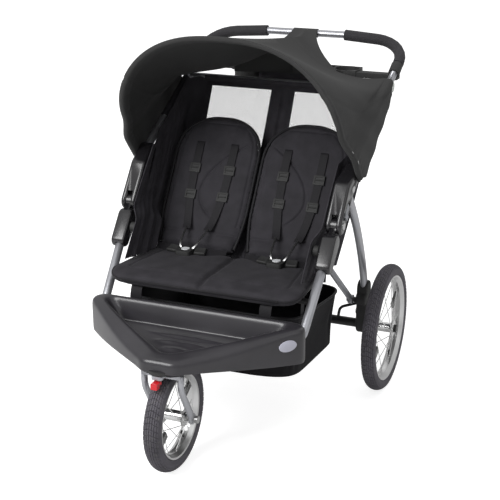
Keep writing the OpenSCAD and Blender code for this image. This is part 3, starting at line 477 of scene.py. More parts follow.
@dataclass(frozen=True)
class Moulding(Finish):
    """Moulded plastic with fine grain, rubbed patches and a set gloss."""

    rough: float = 0.4
    coat: float = 0.0
    scale: float = 1400.0
    depth: float = 0.00012
    rubbed: float = 0.25

    def inputs(self, tree: Tree) -> dict:
        """Build the plastic."""
        colour, height, mask = self.rubbed_grain(tree, self.scale, 22.0, self.rubbed, 0.12, grey(0.16))
        return {
            "Base Color": colour,
            "Roughness": tree.math("MULTIPLY_ADD", mask, 0.14, self.rough),
            "Coat Weight": self.coat,
            "Coat Roughness": 0.16,
            "Normal": self.relief(tree, height, self.depth, 0.5),
        }


@dataclass(frozen=True)
class Metal(Finish):
    """Painted, brushed or plated metal with fine grain and rubbed patches."""

    metallic: float = 0.9
    rough: float = 0.34
    scale: float = 1800.0
    depth: float = 0.00006
    worn: float = 0.3

    def inputs(self, tree: Tree) -> dict:
        """Build the metal."""
        dull = tuple(c * 0.82 for c in self.low[:3]) + (1.0,)
        colour, height, mask = self.rubbed_grain(tree, self.scale, 45.0, self.worn, 0.4, dull)
        return {
            "Base Color": colour,
            "Roughness": tree.math("MULTIPLY_ADD", mask, 0.12, self.rough),
            "Metallic": self.metallic,
            "Normal": self.relief(tree, height, self.depth, 0.4),
        }


@dataclass(frozen=True)
class Rubber(Finish):
    """Tyre rubber with moulding grain and road dust in the rubbed places."""

    dust: Colour
    rough: float = 0.72

    def inputs(self, tree: Tree) -> dict:
        """Build the rubber."""
        colour, height, mask = self.rubbed_grain(tree, 700.0, 60.0, 0.55, 0.5, self.dust)
        return {
            "Base Color": colour,
            "Roughness": tree.ranged(mask, 0.0, 1.0, self.rough, 0.9),
            "Specular IOR Level": 0.35,
            "Normal": self.relief(tree, height, 0.0004, 0.5),
        }


@dataclass(frozen=True)
class Foam(Finish):
    """Closed-cell foam with small pressed cells."""

    cells: float = 330.0

    def inputs(self, tree: Tree) -> dict:
        """Build the foam."""
        vector = self.place(tree)
        inputs = {"Vector": vector, "Scale": self.cells}
        cells = tree.add("ShaderNodeTexVoronoi", inputs, feature="DISTANCE_TO_EDGE")
        walls = tree.ranged(cells.outputs[0], 0.0, 0.28)
        grain = self.patterned(tree, Pattern.GRAIN, vector, Scale=1500.0)
        tone = tree.math("MULTIPLY", tree.math("ADD", walls, grain["Tone"]), 0.5)
        return {
            "Base Color": tree.mixed(tone, self.low, self.high),
            "Roughness": tree.ranged(walls, 0.0, 1.0, 0.86, 0.68),
            "Normal": self.relief(tree, walls, 0.0007, 0.8),
        }


SEAT_CLOTH = Cloth("seat_pad_cloth", black(0.016), black(0.034), 820.0, sheen=0.04)
BACK_PAD_CLOTH = Cloth("back_pad_cloth", black(0.017), black(0.036), 820.0, sheen=0.04, turn=(-56.6, 0, 0))
BLACK_CLOTH = Cloth("black_lining_cloth", black(0.022), black(0.046), 700.0, sheen=0.03, coords=Coords.UV)
BASKET_CLOTH = Cloth("basket_cloth", black(0.006), black(0.013), threads=520.0, sheen=0.03, coords=Coords.UV)
CANOPY_CLOTH = PanelCloth(
    "canopy_cloth", grey(0.008, 0.03), grey(0.018, 0.03), rough=0.68, sheen=0.0, coords=Coords.UV,
    specular=0.07, sheen_rough=0.4, bump=0.5
)
WINDOW_NET = Net("window_net", grey(0.05), grey(0.065))
TAPE = Webbing("strap_webbing", black(0.006), black(0.017))
PIPING = Cloth("edge_piping", black(0.007), black(0.015), threads=1200.0, rough=0.55, sheen=0.05)
THREAD = Cloth("sewing_thread", grey(0.03), grey(0.06), threads=2600.0, rough=0.6, sheen=0.2)
REFLECTIVE = Metal("reflective_tape", grey(0.5), grey(0.68), metallic=0.2, rough=0.3, scale=2600.0)
SILVER_TUBE = Metal("silver_tube_paint", (0.36, 0.365, 0.39, 1.0), (0.43, 0.435, 0.46, 1.0), 0.75, 0.36)
CHROME = Metal("chrome_plate", grey(0.62), grey(0.72), 1.0, 0.16, worn=0.15)
RIM_ALLOY = Metal("rim_alloy", grey(0.56), grey(0.66), 0.95, 0.3, scale=2600.0)
AXLE_STEEL = Metal("zinc_steel", grey(0.42), grey(0.55), 1.0, 0.3)
BLACK_STEEL = Metal("black_steel_paint", grey(0.014), grey(0.026), 0.3, 0.42)
SHELL = Moulding("hinge_shell_gloss", black(0.007), black(0.011), 0.27, 0.25, depth=0.00004, rubbed=0.12)
FOOTWELL = Moulding("footwell_satin", black(0.021), black(0.029), rough=0.3, depth=0.00006)
BLACK_PLASTIC = Moulding("black_moulding", black(0.009), black(0.014), rough=0.4)
BUCKLE_PLASTIC = Moulding("buckle_plastic", black(0.007), black(0.011), rough=0.36)
BUTTON_PLASTIC = Moulding("button_plastic", grey(0.55), grey(0.66), rough=0.32, rubbed=0.1)
CATCH_PLASTIC = Moulding("catch_plastic", grey(0.2), grey(0.27), rough=0.4)
JOINT_PLASTIC = Moulding("joint_cover_plastic", (0.5, 0.53, 0.5, 1.0), (0.58, 0.61, 0.58, 1.0), rough=0.42)
RED_PLASTIC = Moulding("red_knob_plastic", (0.52, 0.012, 0.018, 1.0), (0.62, 0.02, 0.025, 1.0), rough=0.3)
# Pale glossy oval that paints the lip's highlight onto the footwell; it is not a part of its own.
LIP_HIGHLIGHT_PAINT = Moulding("bare_oval_plate", (0.40, 0.40, 0.47, 1.0), (0.48, 0.48, 0.55, 1.0), rough=0.3, coat=0.3)
REFLECTOR = Moulding("dark_reflector", grey(0.03), grey(0.05), rough=0.18, coat=0.6)
TYRE = Rubber("tyre_rubber", black(0.062), black(0.1), grey(0.15, 0.03))
GRIP_FOAM = Foam("grip_foam", black(0.009), black(0.03))

SOLID_FINISHES: dict[Finish, Sequence[str]] = {
    SILVER_TUBE: ("cross_bar", *pair("handle_tube"), *pair("rear_leg"), *pair("stay")),
    BLACK_PLASTIC: (
        "head_bracket", "canopy_bow", *pair("axle_bracket"), *pair("brake_lever"), *pair("brake_disc")
    ),
    BLACK_STEEL: ("seat_frame", "rear_axle"),
    CATCH_PLASTIC: pair("fold_lever"),
    RIM_ALLOY: ("front_rim", *pair("rear_rim")),
    CHROME: ("front_hub", *pair("rear_hub")),
    AXLE_STEEL: ("front_axle",),
    RED_PLASTIC: ("swivel_lock",),
    BUTTON_PLASTIC: pair("buckle_button"),
}

SMOOTHED: Sequence[tuple[Finish, str, float, Sequence[str]]] = (
    (SILVER_TUBE, "silver_tube", 0.0, (*pair("frame_tube"), "handlebar", "front_fork")),
    (SHELL, "hinge_shell", 0.0, (*pair("hinge_sleeve"), *pair("hinge_housing"))),
    (GRIP_FOAM, "foam", 0.0, pair("grip")),
    (BLACK_PLASTIC, "black_moulding", 2.5, ("parent_tray",)),
    (BUCKLE_PLASTIC, "buckle_plastic", 2.5, pair("buckle")),
)


class Bench:
    """Mesh jobs that the sub-assemblies share."""

    @staticmethod
    def solo(obj: Obj) -> None:
        """Select one object alone and make it active."""
        bpy.ops.object.select_all(action="DESELECT")
        obj.select_set(True)
        bpy.context.view_layer.objects.active = obj

    @staticmethod
    def mode(name: str) -> None:
        """Enter edit mode ("EDIT") or leave it ("OBJECT")."""
        bpy.ops.object.mode_set(mode=name)

    @staticmethod
    def apply(obj: Obj, kind: str, **settings: object) -> None:
        """Add a modifier with the given settings and apply it."""
        modifier = obj.modifiers.new(kind.lower(), kind)
        for key, value in settings.items():
            setattr(modifier, key, value)
        Bench.solo(obj)
        bpy.ops.object.modifier_apply(modifier=modifier.name)

    @staticmethod
    def shade(obj: Obj, degrees: float) -> None:
        """Shade smooth, but for edges sharper than an angle."""
        Bench.solo(obj)
        bpy.ops.object.shade_smooth_by_angle(angle=math.radians(degrees))

    @staticmethod
    def settle(obj: Obj, name: str) -> Obj:
        """Name an object and its mesh, and move its place into the mesh."""
        Bench.solo(obj)
        bpy.ops.object.transform_apply(location=True, rotation=True, scale=True)
        obj.name = name
        obj.data.name = name
        return obj

    @staticmethod
    def merge(obj: Obj, distance: float = 1e-5) -> None:
        """Merge doubled points and turn all faces outwards.

        Args:
            obj: The piece.
            distance: Points nearer than this become one.
        """
        Bench.solo(obj)
        Bench.mode("EDIT")
        bpy.ops.mesh.select_all(action="SELECT")
        bpy.ops.mesh.remove_doubles(threshold=distance)
        bpy.ops.mesh.normals_make_consistent(inside=False)
        Bench.mode("OBJECT")

    @staticmethod
    def joined(name: str, parts: Sequence[Obj]) -> Obj:
        """Join objects into one piece.

        Args:
            name: The piece's name.
            parts: The objects.

        Returns:
            The piece.
        """
        Bench.solo(parts[0])
        for part in parts[1:]:
            part.select_set(True)
        if len(parts) > 1:
            bpy.ops.object.join()
        return Bench.settle(bpy.context.view_layer.objects.active, name)

    @staticmethod
    def mesh(name: str, points: Sequence[Vector], faces: Sequence[tuple]) -> Obj:
        """Make an object from points and faces."""
        mesh = bpy.data.meshes.new(name)
        mesh.from_pydata([tuple(p) for p in points], [], faces)
        obj = bpy.data.objects.new(name, mesh)
        bpy.context.scene.collection.objects.link(obj)
        return obj

    @staticmethod
    def choose(obj: Obj, test: Callable | None = None) -> None:
        """Enter edit mode with the faces chosen that pass a test, or with all of them.

        Args:
            obj: The piece.
            test: Tells whether a face is chosen, or None for all.
        """
        Bench.solo(obj)
        Bench.mode("EDIT")
        bpy.ops.mesh.select_mode(type="FACE")
        bpy.ops.mesh.select_all(action="DESELECT" if test else "SELECT")
        if test:
            Bench.mode("OBJECT")
            for face in obj.data.polygons:
                face.select = test(face)
            Bench.mode("EDIT")

    @staticmethod
    def bevel(obj: Obj, offset: float, segments: int, test: Callable | None = None) -> None:
        """Round the edges of the chosen faces, or all edges."""
        Bench.choose(obj, test)
        bpy.ops.mesh.bevel(offset=offset, segments=segments, affect="EDGES")
        Bench.mode("OBJECT")

    @staticmethod
    def inset(obj: Obj, test: Callable, steps: Sequence[Twin], single: bool = False) -> None:
        """Inset the chosen faces, together or each alone, in steps of width and rise."""
        Bench.choose(obj, test)
        for width, rise in steps:
            bpy.ops.mesh.inset(thickness=width, depth=rise, use_individual=single)
        Bench.mode("OBJECT")

    @staticmethod
    def block(
        name: str, place: Vector, turn: Sequence[float], size: Sequence[float], rounding: tuple[float, int],
        test: Callable, steps: Sequence[Twin]
    ) -> Obj:
        """Model a rounded block with sunk faces.

        Args:
            name: The piece's name.
            place: Its middle.
            turn: Its turn about each axis in radians.
            size: Its three sides.
            rounding: Width and segments of its rounded edges.
            test: Tells which faces are sunk.
            steps: Width and rise of each inset.

        Returns:
            The new object.
        """
        bpy.ops.object.select_all(action="DESELECT")
        bpy.ops.mesh.primitive_cube_add(size=1, location=place, rotation=turn)
        obj = bpy.context.view_layer.objects.active
        obj.scale = size
        bpy.ops.object.transform_apply(location=False, rotation=False, scale=True)
        Bench.bevel(obj, *rounding)
        Bench.inset(obj, test, steps)
        Bench.settle(obj, name)
        Bench.shade(obj, 30)
        return obj

    @staticmethod
    def skin(name: str, rows: Sequence[Sequence[Vector]], loop: bool = False) -> Obj:
        """Lay a grid of points as one skin with a UV map in metres.

        Args:
            name: The piece's name.
            rows: Points, row by row, all rows as long as each other.
            loop: Whether each row closes on itself.

        Returns:
            The new object.
        """
        count = len(rows[0])
        wide = count if loop else count - 1
        cells = [(i, j) for j in range(len(rows) - 1) for i in range(wide)]
        faces = []
        for i, j in cells:
            k = (i + 1) % count
            faces.append((j * count + i, j * count + k, (j + 1) * count + k, (j + 1) * count + i))
        obj = Bench.mesh(name, [p for row in rows for p in row], faces)
        place = np.array([[tuple(p) for p in row] for row in rows])
        steps_u = np.linalg.norm(np.diff(place, axis=1, append=place[:, :1]), axis=2).mean(axis=0)
        steps_v = np.linalg.norm(np.diff(place, axis=0), axis=2).mean(axis=1)
        run_u, run_v = (np.concatenate([[0.0], np.cumsum(steps)]) for steps in (steps_u, steps_v))
        flat = []
        for i, j in cells:
            for a, b in ((i, j), (i + 1, j), (i + 1, j + 1), (i, j + 1)):
                flat.extend((run_u[a], run_v[b]))
        obj.data.uv_layers.new(name="UVMap").data.foreach_set("uv", flat)
        obj.data.update()
        return obj

    @staticmethod
    def sheet(
        name: str, rows: Sequence[Sequence[Vector]], thick: float, offset: float, smooth: float,
        loop: bool = False
    ) -> tuple[Obj, float]:
        """Lay a skin and give it a thickness.

        Args:
            name: The piece's name.
            rows: Points, row by row.
            thick: Thickness in metres.
            offset: Which way it thickens, from -1 to 1.
            smooth: Sharpest angle that is shaded smooth.
            loop: Whether each row closes on itself.

        Returns:
            The new object and the area of the skin.
        """
        obj = Bench.skin(name, rows, loop)
        area = Bench.area(obj)
        Bench.apply(obj, "SOLIDIFY", thickness=thick, offset=offset)
        Bench.shade(obj, smooth)
        return obj, area

    @staticmethod
    def area(obj: Obj) -> float:
        """Area of a piece's faces, in square metres."""
        return sum(p.area for p in obj.data.polygons)

    @staticmethod
    def tube(name: str, path: Sequence[Vector], radius: float, closed: bool = False) -> Obj:
        """Make a round cord of cloth or wire along a path.

        Args:
            name: The piece's name.
            path: Points along the middle, in metres.
            radius: Radius in metres.
            closed: Whether the path closes on itself.

        Returns:
            The new mesh object.
        """
        curve = bpy.data.curves.new(name, "CURVE")
        curve.dimensions = "3D"
        curve.bevel_depth = radius
        curve.bevel_resolution = 2
        curve.use_fill_caps = True
        spline = curve.splines.new("POLY")
        spline.points.add(len(path) - 1)
        for point, place in zip(spline.points, path):
            point.co = (*place, 1.0)
        spline.use_cyclic_u = closed
        obj = bpy.data.objects.new(name, curve)
        bpy.context.scene.collection.objects.link(obj)
        Bench.solo(obj)
        bpy.ops.object.convert(target="MESH")
        obj = bpy.context.view_layer.objects.active
        Bench.merge(obj)
        Bench.shade(obj, 60)
        return Bench.settle(obj, name)

    @staticmethod
    def ribbon(
        name: str, path: Sequence[Vector], across: Vector | Sequence[Vector], width: float,
        thick: float = 0.0016
    ) -> Obj:
        """Make a flat strap along a path.

        Args:
            name: The piece's name.
            path: Points along the middle, in metres.
            across: A vector along the width, or one for each point.
            width: Width in metres.
            thick: Thickness in metres.

        Returns:
            The new object.
        """
        rows = []
        sides = [across] * len(path) if isinstance(across, Vector) else across
        for place, side in zip(path, sides):
            aim = side.normalized()
            rows.append([place + aim * width * k for k in (-0.5, -0.25, 0.0, 0.25, 0.5)])
        obj = Bench.skin(name, rows)
        Bench.apply(obj, "SOLIDIFY", thickness=thick, offset=0.0)
        Bench.apply(obj, "BEVEL", width=thick * 0.25, segments=1, limit_method="ANGLE")
        Bench.merge(obj, 1e-7)
        Bench.shade(obj, 40)
        return obj

    @staticmethod
    def stitches(name: str, path: Sequence[Vector], lift: Sequence[Vector], pitch: float = 0.006) -> Obj:
        """Sew a row of stitches along a path.

        Args:
            name: The piece's name.
            path: Points along the seam, in metres.
            lift: The cloth's outward normal at each point.
            pitch: Distance from stitch to stitch.

        Returns:
            The new object.
        """
        points, faces = [], []
        carried = 0.0
        half_w, half_l, high = 0.0005, pitch * 0.34, 0.0006
        for a, b, up in zip(path[:-1], path[1:], lift):
            run = (b - a).length
            if run < 1e-9:
                continue
            aim = (b - a) / run
            side = aim.cross(up).normalized()
            while carried < run:
                mid = a + aim * carried
                base = len(points)
                for s in (-1, 1):
                    points.append(mid + aim * half_l * s + side * half_w)
                    points.append(mid + aim * half_l * s - side * half_w)
                points.append(mid + up.normalized() * high + aim * half_l * 0.4)
                points.append(mid + up.normalized() * high - aim * half_l * 0.4)
                faces.append((base, base + 1, base + 5))
                faces.append((base + 3, base + 2, base + 4))
                faces.append((base + 1, base + 3, base + 4, base + 5))
                faces.append((base + 2, base, base + 5, base + 4))
                faces.append((base, base + 2, base + 3, base + 1))
                carried += pitch
            carried -= run
        obj = Bench.mesh(name, points, faces)
        Bench.merge(obj, 1e-8)
        return obj

    @staticmethod
    def button(
        name: str, place: Vector, axis: Vector, radius: float, high: float, round_over: float
    ) -> Obj:
        """Model a round head, cap or boss: a cylinder with its far rim rounded and its face dished.

        Args:
            name: The piece's name.
            place: Middle of its foot.
            axis: The way it stands.
            radius: Its radius.
            high: Its height.
            round_over: Width of the rounded rim.

        Returns:
            The new object.
        """
        bpy.ops.object.select_all(action="DESELECT")
        aim = axis.normalized()
        bpy.ops.mesh.primitive_cylinder_add(
            vertices=28, radius=radius, depth=high, location=place + aim * high / 2,
            rotation=aim.to_track_quat("Z", "Y").to_euler()
        )
        obj = bpy.context.view_layer.objects.active
        Bench.bevel(obj, round_over, 3, lambda f: f.normal.z > 0.9)
        dish = [(radius * 0.3, -high * 0.08)]
        Bench.inset(obj, lambda f: f.normal.z > 0.99 and f.center.z > high * 0.4, dish)
        Bench.settle(obj, name)
        Bench.merge(obj, 1e-7)
        Bench.shade(obj, 35)
        return obj

    @staticmethod
    def read(obj: Obj, key: str) -> np.ndarray:
        """Read the places ("co") or the normals ("normal") of a mesh's points as rows."""
        flat = np.zeros(len(obj.data.vertices) * 3)
        obj.data.vertices.foreach_get(key, flat)
        return flat.reshape(-1, 3)

    @staticmethod
    def set_coordinates(obj: Obj, points: np.ndarray) -> None:
        """Move a mesh's points."""
        obj.data.vertices.foreach_set("co", points.reshape(-1))
        obj.data.update()

    @staticmethod
    def pillow(name: str, point: Callable[[float, float, bool], Vector], rows: int, cols: int) -> Obj:
        """Close a face and a back into one form.

        Args:
            name: The piece's name.
            point: Gives a point from its place across, its place along and whether it is at the back.
            rows: Number of points along.
            cols: Number of points across.

        Returns:
            The closed form.
        """
        points = []
        for back in (False, True):
            for j in range(rows):
                v = 0.5 - 0.5 * math.cos(math.pi * j / (rows - 1))
                points += [point(math.sin(math.pi * (i / (cols - 1) - 0.5)), v, back) for i in range(cols)]
        count = rows * cols
        faces = []
        for j in range(rows - 1):
            for i in range(cols - 1):
                a, b, c, d = j * cols + i, j * cols + i + 1, (j + 1) * cols + i + 1, (j + 1) * cols + i
                faces.append((a, b, c, d))
                faces.append((d + count, c + count, b + count, a + count))
        ring = [*range(cols)] + [j * cols + cols - 1 for j in range(1, rows)]
        ring += [(rows - 1) * cols + i for i in range(cols - 2, -1, -1)]
        ring += [j * cols for j in range(rows - 2, 0, -1)]
        for a, b in zip(ring, ring[1:] + ring[:1]):
            faces.append((b, a, a + count, b + count))
        obj = Bench.mesh(name, points, faces)
        Bench.merge(obj, 1e-6)
        return obj

    @staticmethod
    def inflate(obj: Obj, voxel: float, cap: float, held: Callable[[np.ndarray], np.ndarray]) -> None:
        """Fill a closed form as a stuffed pad by a short cloth simulation.

        Args:
            obj: The closed form, a little smaller than the pad.
            voxel: Size of the new even faces.
            cap: How far a point may move.
            held: Tells which points stay, from the rows of points.
        """
        Bench.apply(obj, "REMESH", mode="VOXEL", voxel_size=voxel, use_smooth_shade=True)
        start = Bench.read(obj, "co")
        pinned = held(start)
        moved = Bench.simulate(obj, pinned)
        outward = Bench.read(obj, "normal")
        swell = np.maximum(0.0, np.sum((moved - start) * outward, axis=1, keepdims=True)) + 0.4 * cap
        shift = outward * np.minimum(cap, swell)
        shift[pinned] = 0.0
        Bench.set_coordinates(obj, start + shift)
        Bench.apply(obj, "SMOOTH", factor=0.5, iterations=6)
        Bench.apply(obj, "SUBSURF", levels=1, render_levels=1)

    @staticmethod
    def simulate(obj: Obj, pinned: np.ndarray) -> np.ndarray:
        """Run the cloth simulation and return where the points end.

        Args:
            obj: The closed form.
            pinned: Which points stay.

        Returns:
            Rows of places.
        """
        group = obj.vertex_groups.new(name="held")
        group.add([int(i) for i in np.nonzero(pinned)[0]], 1.0, "REPLACE")
        cloth = obj.modifiers.new("fill", "CLOTH")
        cloth.settings.use_pressure = True
        cloth.settings.uniform_pressure_force = 4.0
        cloth.settings.effector_weights.gravity = 0.0
        cloth.settings.vertex_group_mass = group.name
        cloth.settings.quality = 5
        cloth.collision_settings.use_collision = False
        scene = bpy.context.scene
        for frame in range(1, 21):
            scene.frame_set(frame)
        ended = Bench.read(obj.evaluated_get(bpy.context.evaluated_depsgraph_get()), "co")
        obj.modifiers.remove(cloth)
        obj.vertex_groups.remove(group)
        scene.frame_set(1)
        return ended


def dress(obj: Obj, finish: Finish) -> None:
    """Give every material slot of an object one finish."""
    material = finish.get()
    if not obj.material_slots:
        obj.data.materials.append(material)
    for slot in obj.material_slots:
        slot.material = material


def piece(obj: Obj, finish: Finish, slot: str, body: str | None = None) -> Obj:
    """Finish a piece: its material and the body that carries it.

    Args:
        obj: The piece.
        finish: Its finish.
        slot: Not used.
        body: The body it rides on, or None to leave it unattached.

    Returns:
        The piece.
    """
    dress(obj, finish)
    if body:
        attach(obj, body)
    LOG.info("%s: %d faces, %s", obj.name, len(obj.data.polygons), body or "blended")
    return obj


@dataclass
class Studio:
    """Floor, light and the photograph's camera."""

    camera_place: Triple = (1.2226, -2.9125, 1.5794)
    azimuth: float = 22.1
    elevation: float = 19.2
    lens: float = 82.6
    floor_size: float = 60.0
    lamp_aim: Triple = (0.0, 0.0, 0.55)

    def build(self) -> None:
        """Set the camera, the floor, the world and the lamps."""
        scene = bpy.context.scene
        scene.view_settings.view_transform = "Standard"
        camera = bpy.data.cameras.new("photo_camera")
        camera.lens = self.lens
        camera.sensor_width = 36.0
        camera.clip_end = 100.0
        holder = bpy.data.objects.new("photo_camera", camera)
        turn, tip = math.radians(self.azimuth), math.radians(self.elevation)
        aim = Vector((-math.sin(turn) * math.cos(tip), math.cos(turn) * math.cos(tip), -math.sin(tip)))
        holder.location = self.camera_place
        holder.rotation_euler = aim.to_track_quat("-Z", "Y").to_euler()
        scene.collection.objects.link(holder)
        scene.camera = holder
        self.floor()
        self.world()
        self.lamp("key_lamp", (-1.4, -3.0, 2.8), 2.2, 150.0)
        self.lamp("fill_lamp", (2.8, -1.2, 2.2), 2.2, 8.0)
        self.lamp("rear_lamp", (0.6, 2.8, 2.6), 2.4, 12.0)

    @staticmethod
    def rays(tree: Tree) -> tuple[Socket, Socket]:
        """Whether a ray comes from the camera, also through a net, and whether it is a glossy one."""
        path = tree.add("ShaderNodeLightPath").outputs
        seen = tree.math("MAXIMUM", path["Is Camera Ray"], path["Is Transmission Ray"])
        return seen, path["Is Glossy Ray"]

    def floor(self) -> None:
        """Lay a pale floor that looks white to the camera and keeps the shadow."""
        bpy.ops.object.select_all(action="DESELECT")
        bpy.ops.mesh.primitive_plane_add(size=self.floor_size, location=(0, 0, -0.0004))
        floor = bpy.context.view_layer.objects.active
        floor.name = "floor"
        material = bpy.data.materials.new("pale_floor")
        material.use_nodes = True
        tree = Tree(material.node_tree)
        seen, glossy = self.rays(tree)
        shine = tree.math("MULTIPLY", glossy, 0.2)
        inputs = {
            "Base Color": grey(0.6),
            "Roughness": 0.9,
            "Specular IOR Level": 0.0,
            "Emission Color": grey(1.0),
            "Emission Strength": tree.math("ADD", tree.math("MULTIPLY", seen, 0.78), shine),
        }
        tree.feed(material.node_tree.nodes["Principled BSDF"], inputs)
        floor.data.materials.append(material)

    def world(self) -> None:
        """Light the room evenly, and show it white behind the object."""
        world = bpy.data.worlds.new("studio_world")
        bpy.context.scene.world = world
        world.use_nodes = True
        tree = Tree(world.node_tree)
        seen, _ = self.rays(tree)
        parts = tree.split(tree.add("ShaderNodeTexCoord").outputs["Generated"])
        sky = tree.mixed(tree.ranged(parts[2], -0.2, 1.0), grey(0.36), grey(0.8))
        shade = tree.mixed(seen, sky, grey(1.0))
        tree.feed(world.node_tree.nodes["Background"], {"Color": shade, "Strength": 1.0})

    def lamp(self, name: str, place: Triple, size: float, power: float) -> None:
        """Hang one soft square lamp that faces the seats.

        Args:
            name: Its name.
            place: Where it hangs.
            size: Its side in metres.
            power: Its power in watts.
        """
        light = bpy.data.lights.new(name, "AREA")
        light.size = size
        light.energy = power
        holder = bpy.data.objects.new(name, light)
        holder.location = place
        aim = Vector(self.lamp_aim) - Vector(place)
        holder.rotation_euler = aim.to_track_quat("-Z", "Y").to_euler()
        bpy.context.scene.collection.objects.link(holder)


@dataclass
class HardParts:
    """Finishes on the solids that show, and smooth skins over the faceted ones."""

    frame: dict

    def build(self) -> None:
        """Dress the solids and lay the skins."""
        for finish, names in SOLID_FINISHES.items():
            for name in names:
                dress(self.frame["nodes"][name], finish)
        for finish, slot, bevel, names in SMOOTHED:
            for name in names:
                self.skin(name, finish, slot, bevel)

    def skin(self, name: str, finish: Finish, slot: str, bevel: float) -> None:
        """Copy a faceted solid, merge it and shade it round.

        Args:
            name: The node.
            finish: Its finish.
            slot: Its record slot.
            bevel: Width of rounded edges in millimetres, or 0.
        """
        node = self.frame["nodes"][name]
        copy = bpy.data.objects.new(name + "_skin", node.data.copy())
        bpy.context.scene.collection.objects.link(copy)
        Bench.merge(copy, 2e-5)
        if bevel:
            sharp = {"limit_method": "ANGLE", "angle_limit": math.radians(50)}
            Bench.apply(copy, "BEVEL", width=bevel * MM, segments=3, **sharp)
        Bench.shade(copy, 34)
        piece(copy, finish, slot, node["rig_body"])
        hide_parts(name)


@dataclass
class Wheel:
    """Treaded tyre, valve and reflectors of one wheel."""

    label: str
    body: str
    node: str
    centre: Triple
    diameter: float
    width: float
    blocks: int
    tread: float = 2.4
    section: int = 24

    def build(self) -> None:
        """Build the tyre and the small fittings."""
        self.tyre()
        self.valve()
        for turn in (62.0, 242.0):
            self.reflector(turn)

    def hub(self) -> Vector:
        """Middle of the wheel."""
        return at(*self.centre)

    def tyre(self) -> None:
        """Spin the tyre's section about the axle and raise the tread blocks."""
        hub = self.hub()
        middle = self.diameter / 2 - self.width / 2
        bead = middle - self.width * 0.26
        bpy.ops.object.select_all(action="DESELECT")
        bpy.ops.mesh.primitive_circle_add(
            vertices=self.section, radius=self.width / 2 * MM, location=hub + Vector((0, 0, middle * MM)),
            rotation=(math.pi / 2, 0, 0)
        )
        obj = Bench.settle(bpy.context.view_layer.objects.active, self.node + "_treaded")
        squeeze = 1 - 2 * self.tread / self.width
        for vertex in obj.data.vertices:
            high = vertex.co.z - hub.z - middle * MM
            vertex.co.z = hub.z + max(bead * MM, middle * MM + high * squeeze)
        Bench.mode("EDIT")
        bpy.ops.mesh.select_all(action="SELECT")
        bpy.ops.mesh.spin(steps=self.blocks, angle=2 * math.pi, center=hub, axis=(1, 0, 0))
        Bench.mode("OBJECT")
        Bench.merge(obj, 1e-5)
        self.slant(obj, hub)
        self.raise_blocks(obj, hub)
        Bench.shade(obj, 32)
        piece(obj, TYRE, "tyre", self.body)
        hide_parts(self.node)

    def slant(self, obj: Obj, hub: Vector) -> None:
        """Turn the tread's edges back into a chevron.

        Args:
            obj: The tyre.
            hub: Middle of the wheel.
        """
        for vertex in obj.data.vertices:
            rel = vertex.co - hub
            turn = 0.09 * (abs(rel.x) / (self.width * MM / 2)) ** 1.5
            y = rel.y * math.cos(turn) - rel.z * math.sin(turn)
            z = rel.y * math.sin(turn) + rel.z * math.cos(turn)
            vertex.co = hub + Vector((rel.x, y, z))
        obj.data.update()

    def raise_blocks(self, obj: Obj, hub: Vector) -> None:
        """Inset and raise the faces that touch the road."""
        middle = Vector((0, hub.y, hub.z))
        Bench.inset(
            obj, lambda f: f.normal.dot((Vector((0, f.center.y, f.center.z)) - middle).normalized()) > 0.5,
            [(0.00105, self.tread * MM * 0.95)], single=True
        )

    def valve(self) -> None:
        """Stand a valve with its cap inside the rim."""
        hub = self.hub()
        reach = (self.diameter / 2 - self.width * 0.76 - 13) * MM
        aim = Vector((0, math.sin(math.radians(150)), math.cos(math.radians(150))))
        stem = Bench.button(self.label + "_stem", hub + aim * reach, -aim, 0.0028, 0.020, 0.0004)
        cap = Bench.button(self.label + "_cap", hub + aim * (reach - 0.016), -aim, 0.0040, 0.014, 0.0010)
        piece(Bench.joined(self.label + "_valve", [stem, cap]), BLACK_PLASTIC, "black_moulding", self.body)

    def reflector(self, turn: float) -> None:
        """Clip a reflector across the spokes.

        Args:
            turn: Its angle round the wheel in degrees.
        """
        hub = self.hub()
        angle = math.radians(turn)
        aim = Vector((0, math.sin(angle), math.cos(angle)))
        reach = self.diameter / 2 * 0.58 * MM
        obj = Bench.block(
            f"{self.label}_reflector_{int(turn)}", hub + aim * reach, (-angle, 0, 0), (0.009, 0.024, 0.056),
            (0.0035, 3), lambda f: abs(f.normal.x) > 0.99, [(0.002, -0.0008)]
        )
        piece(obj, REFLECTOR, "black_moulding", self.body)


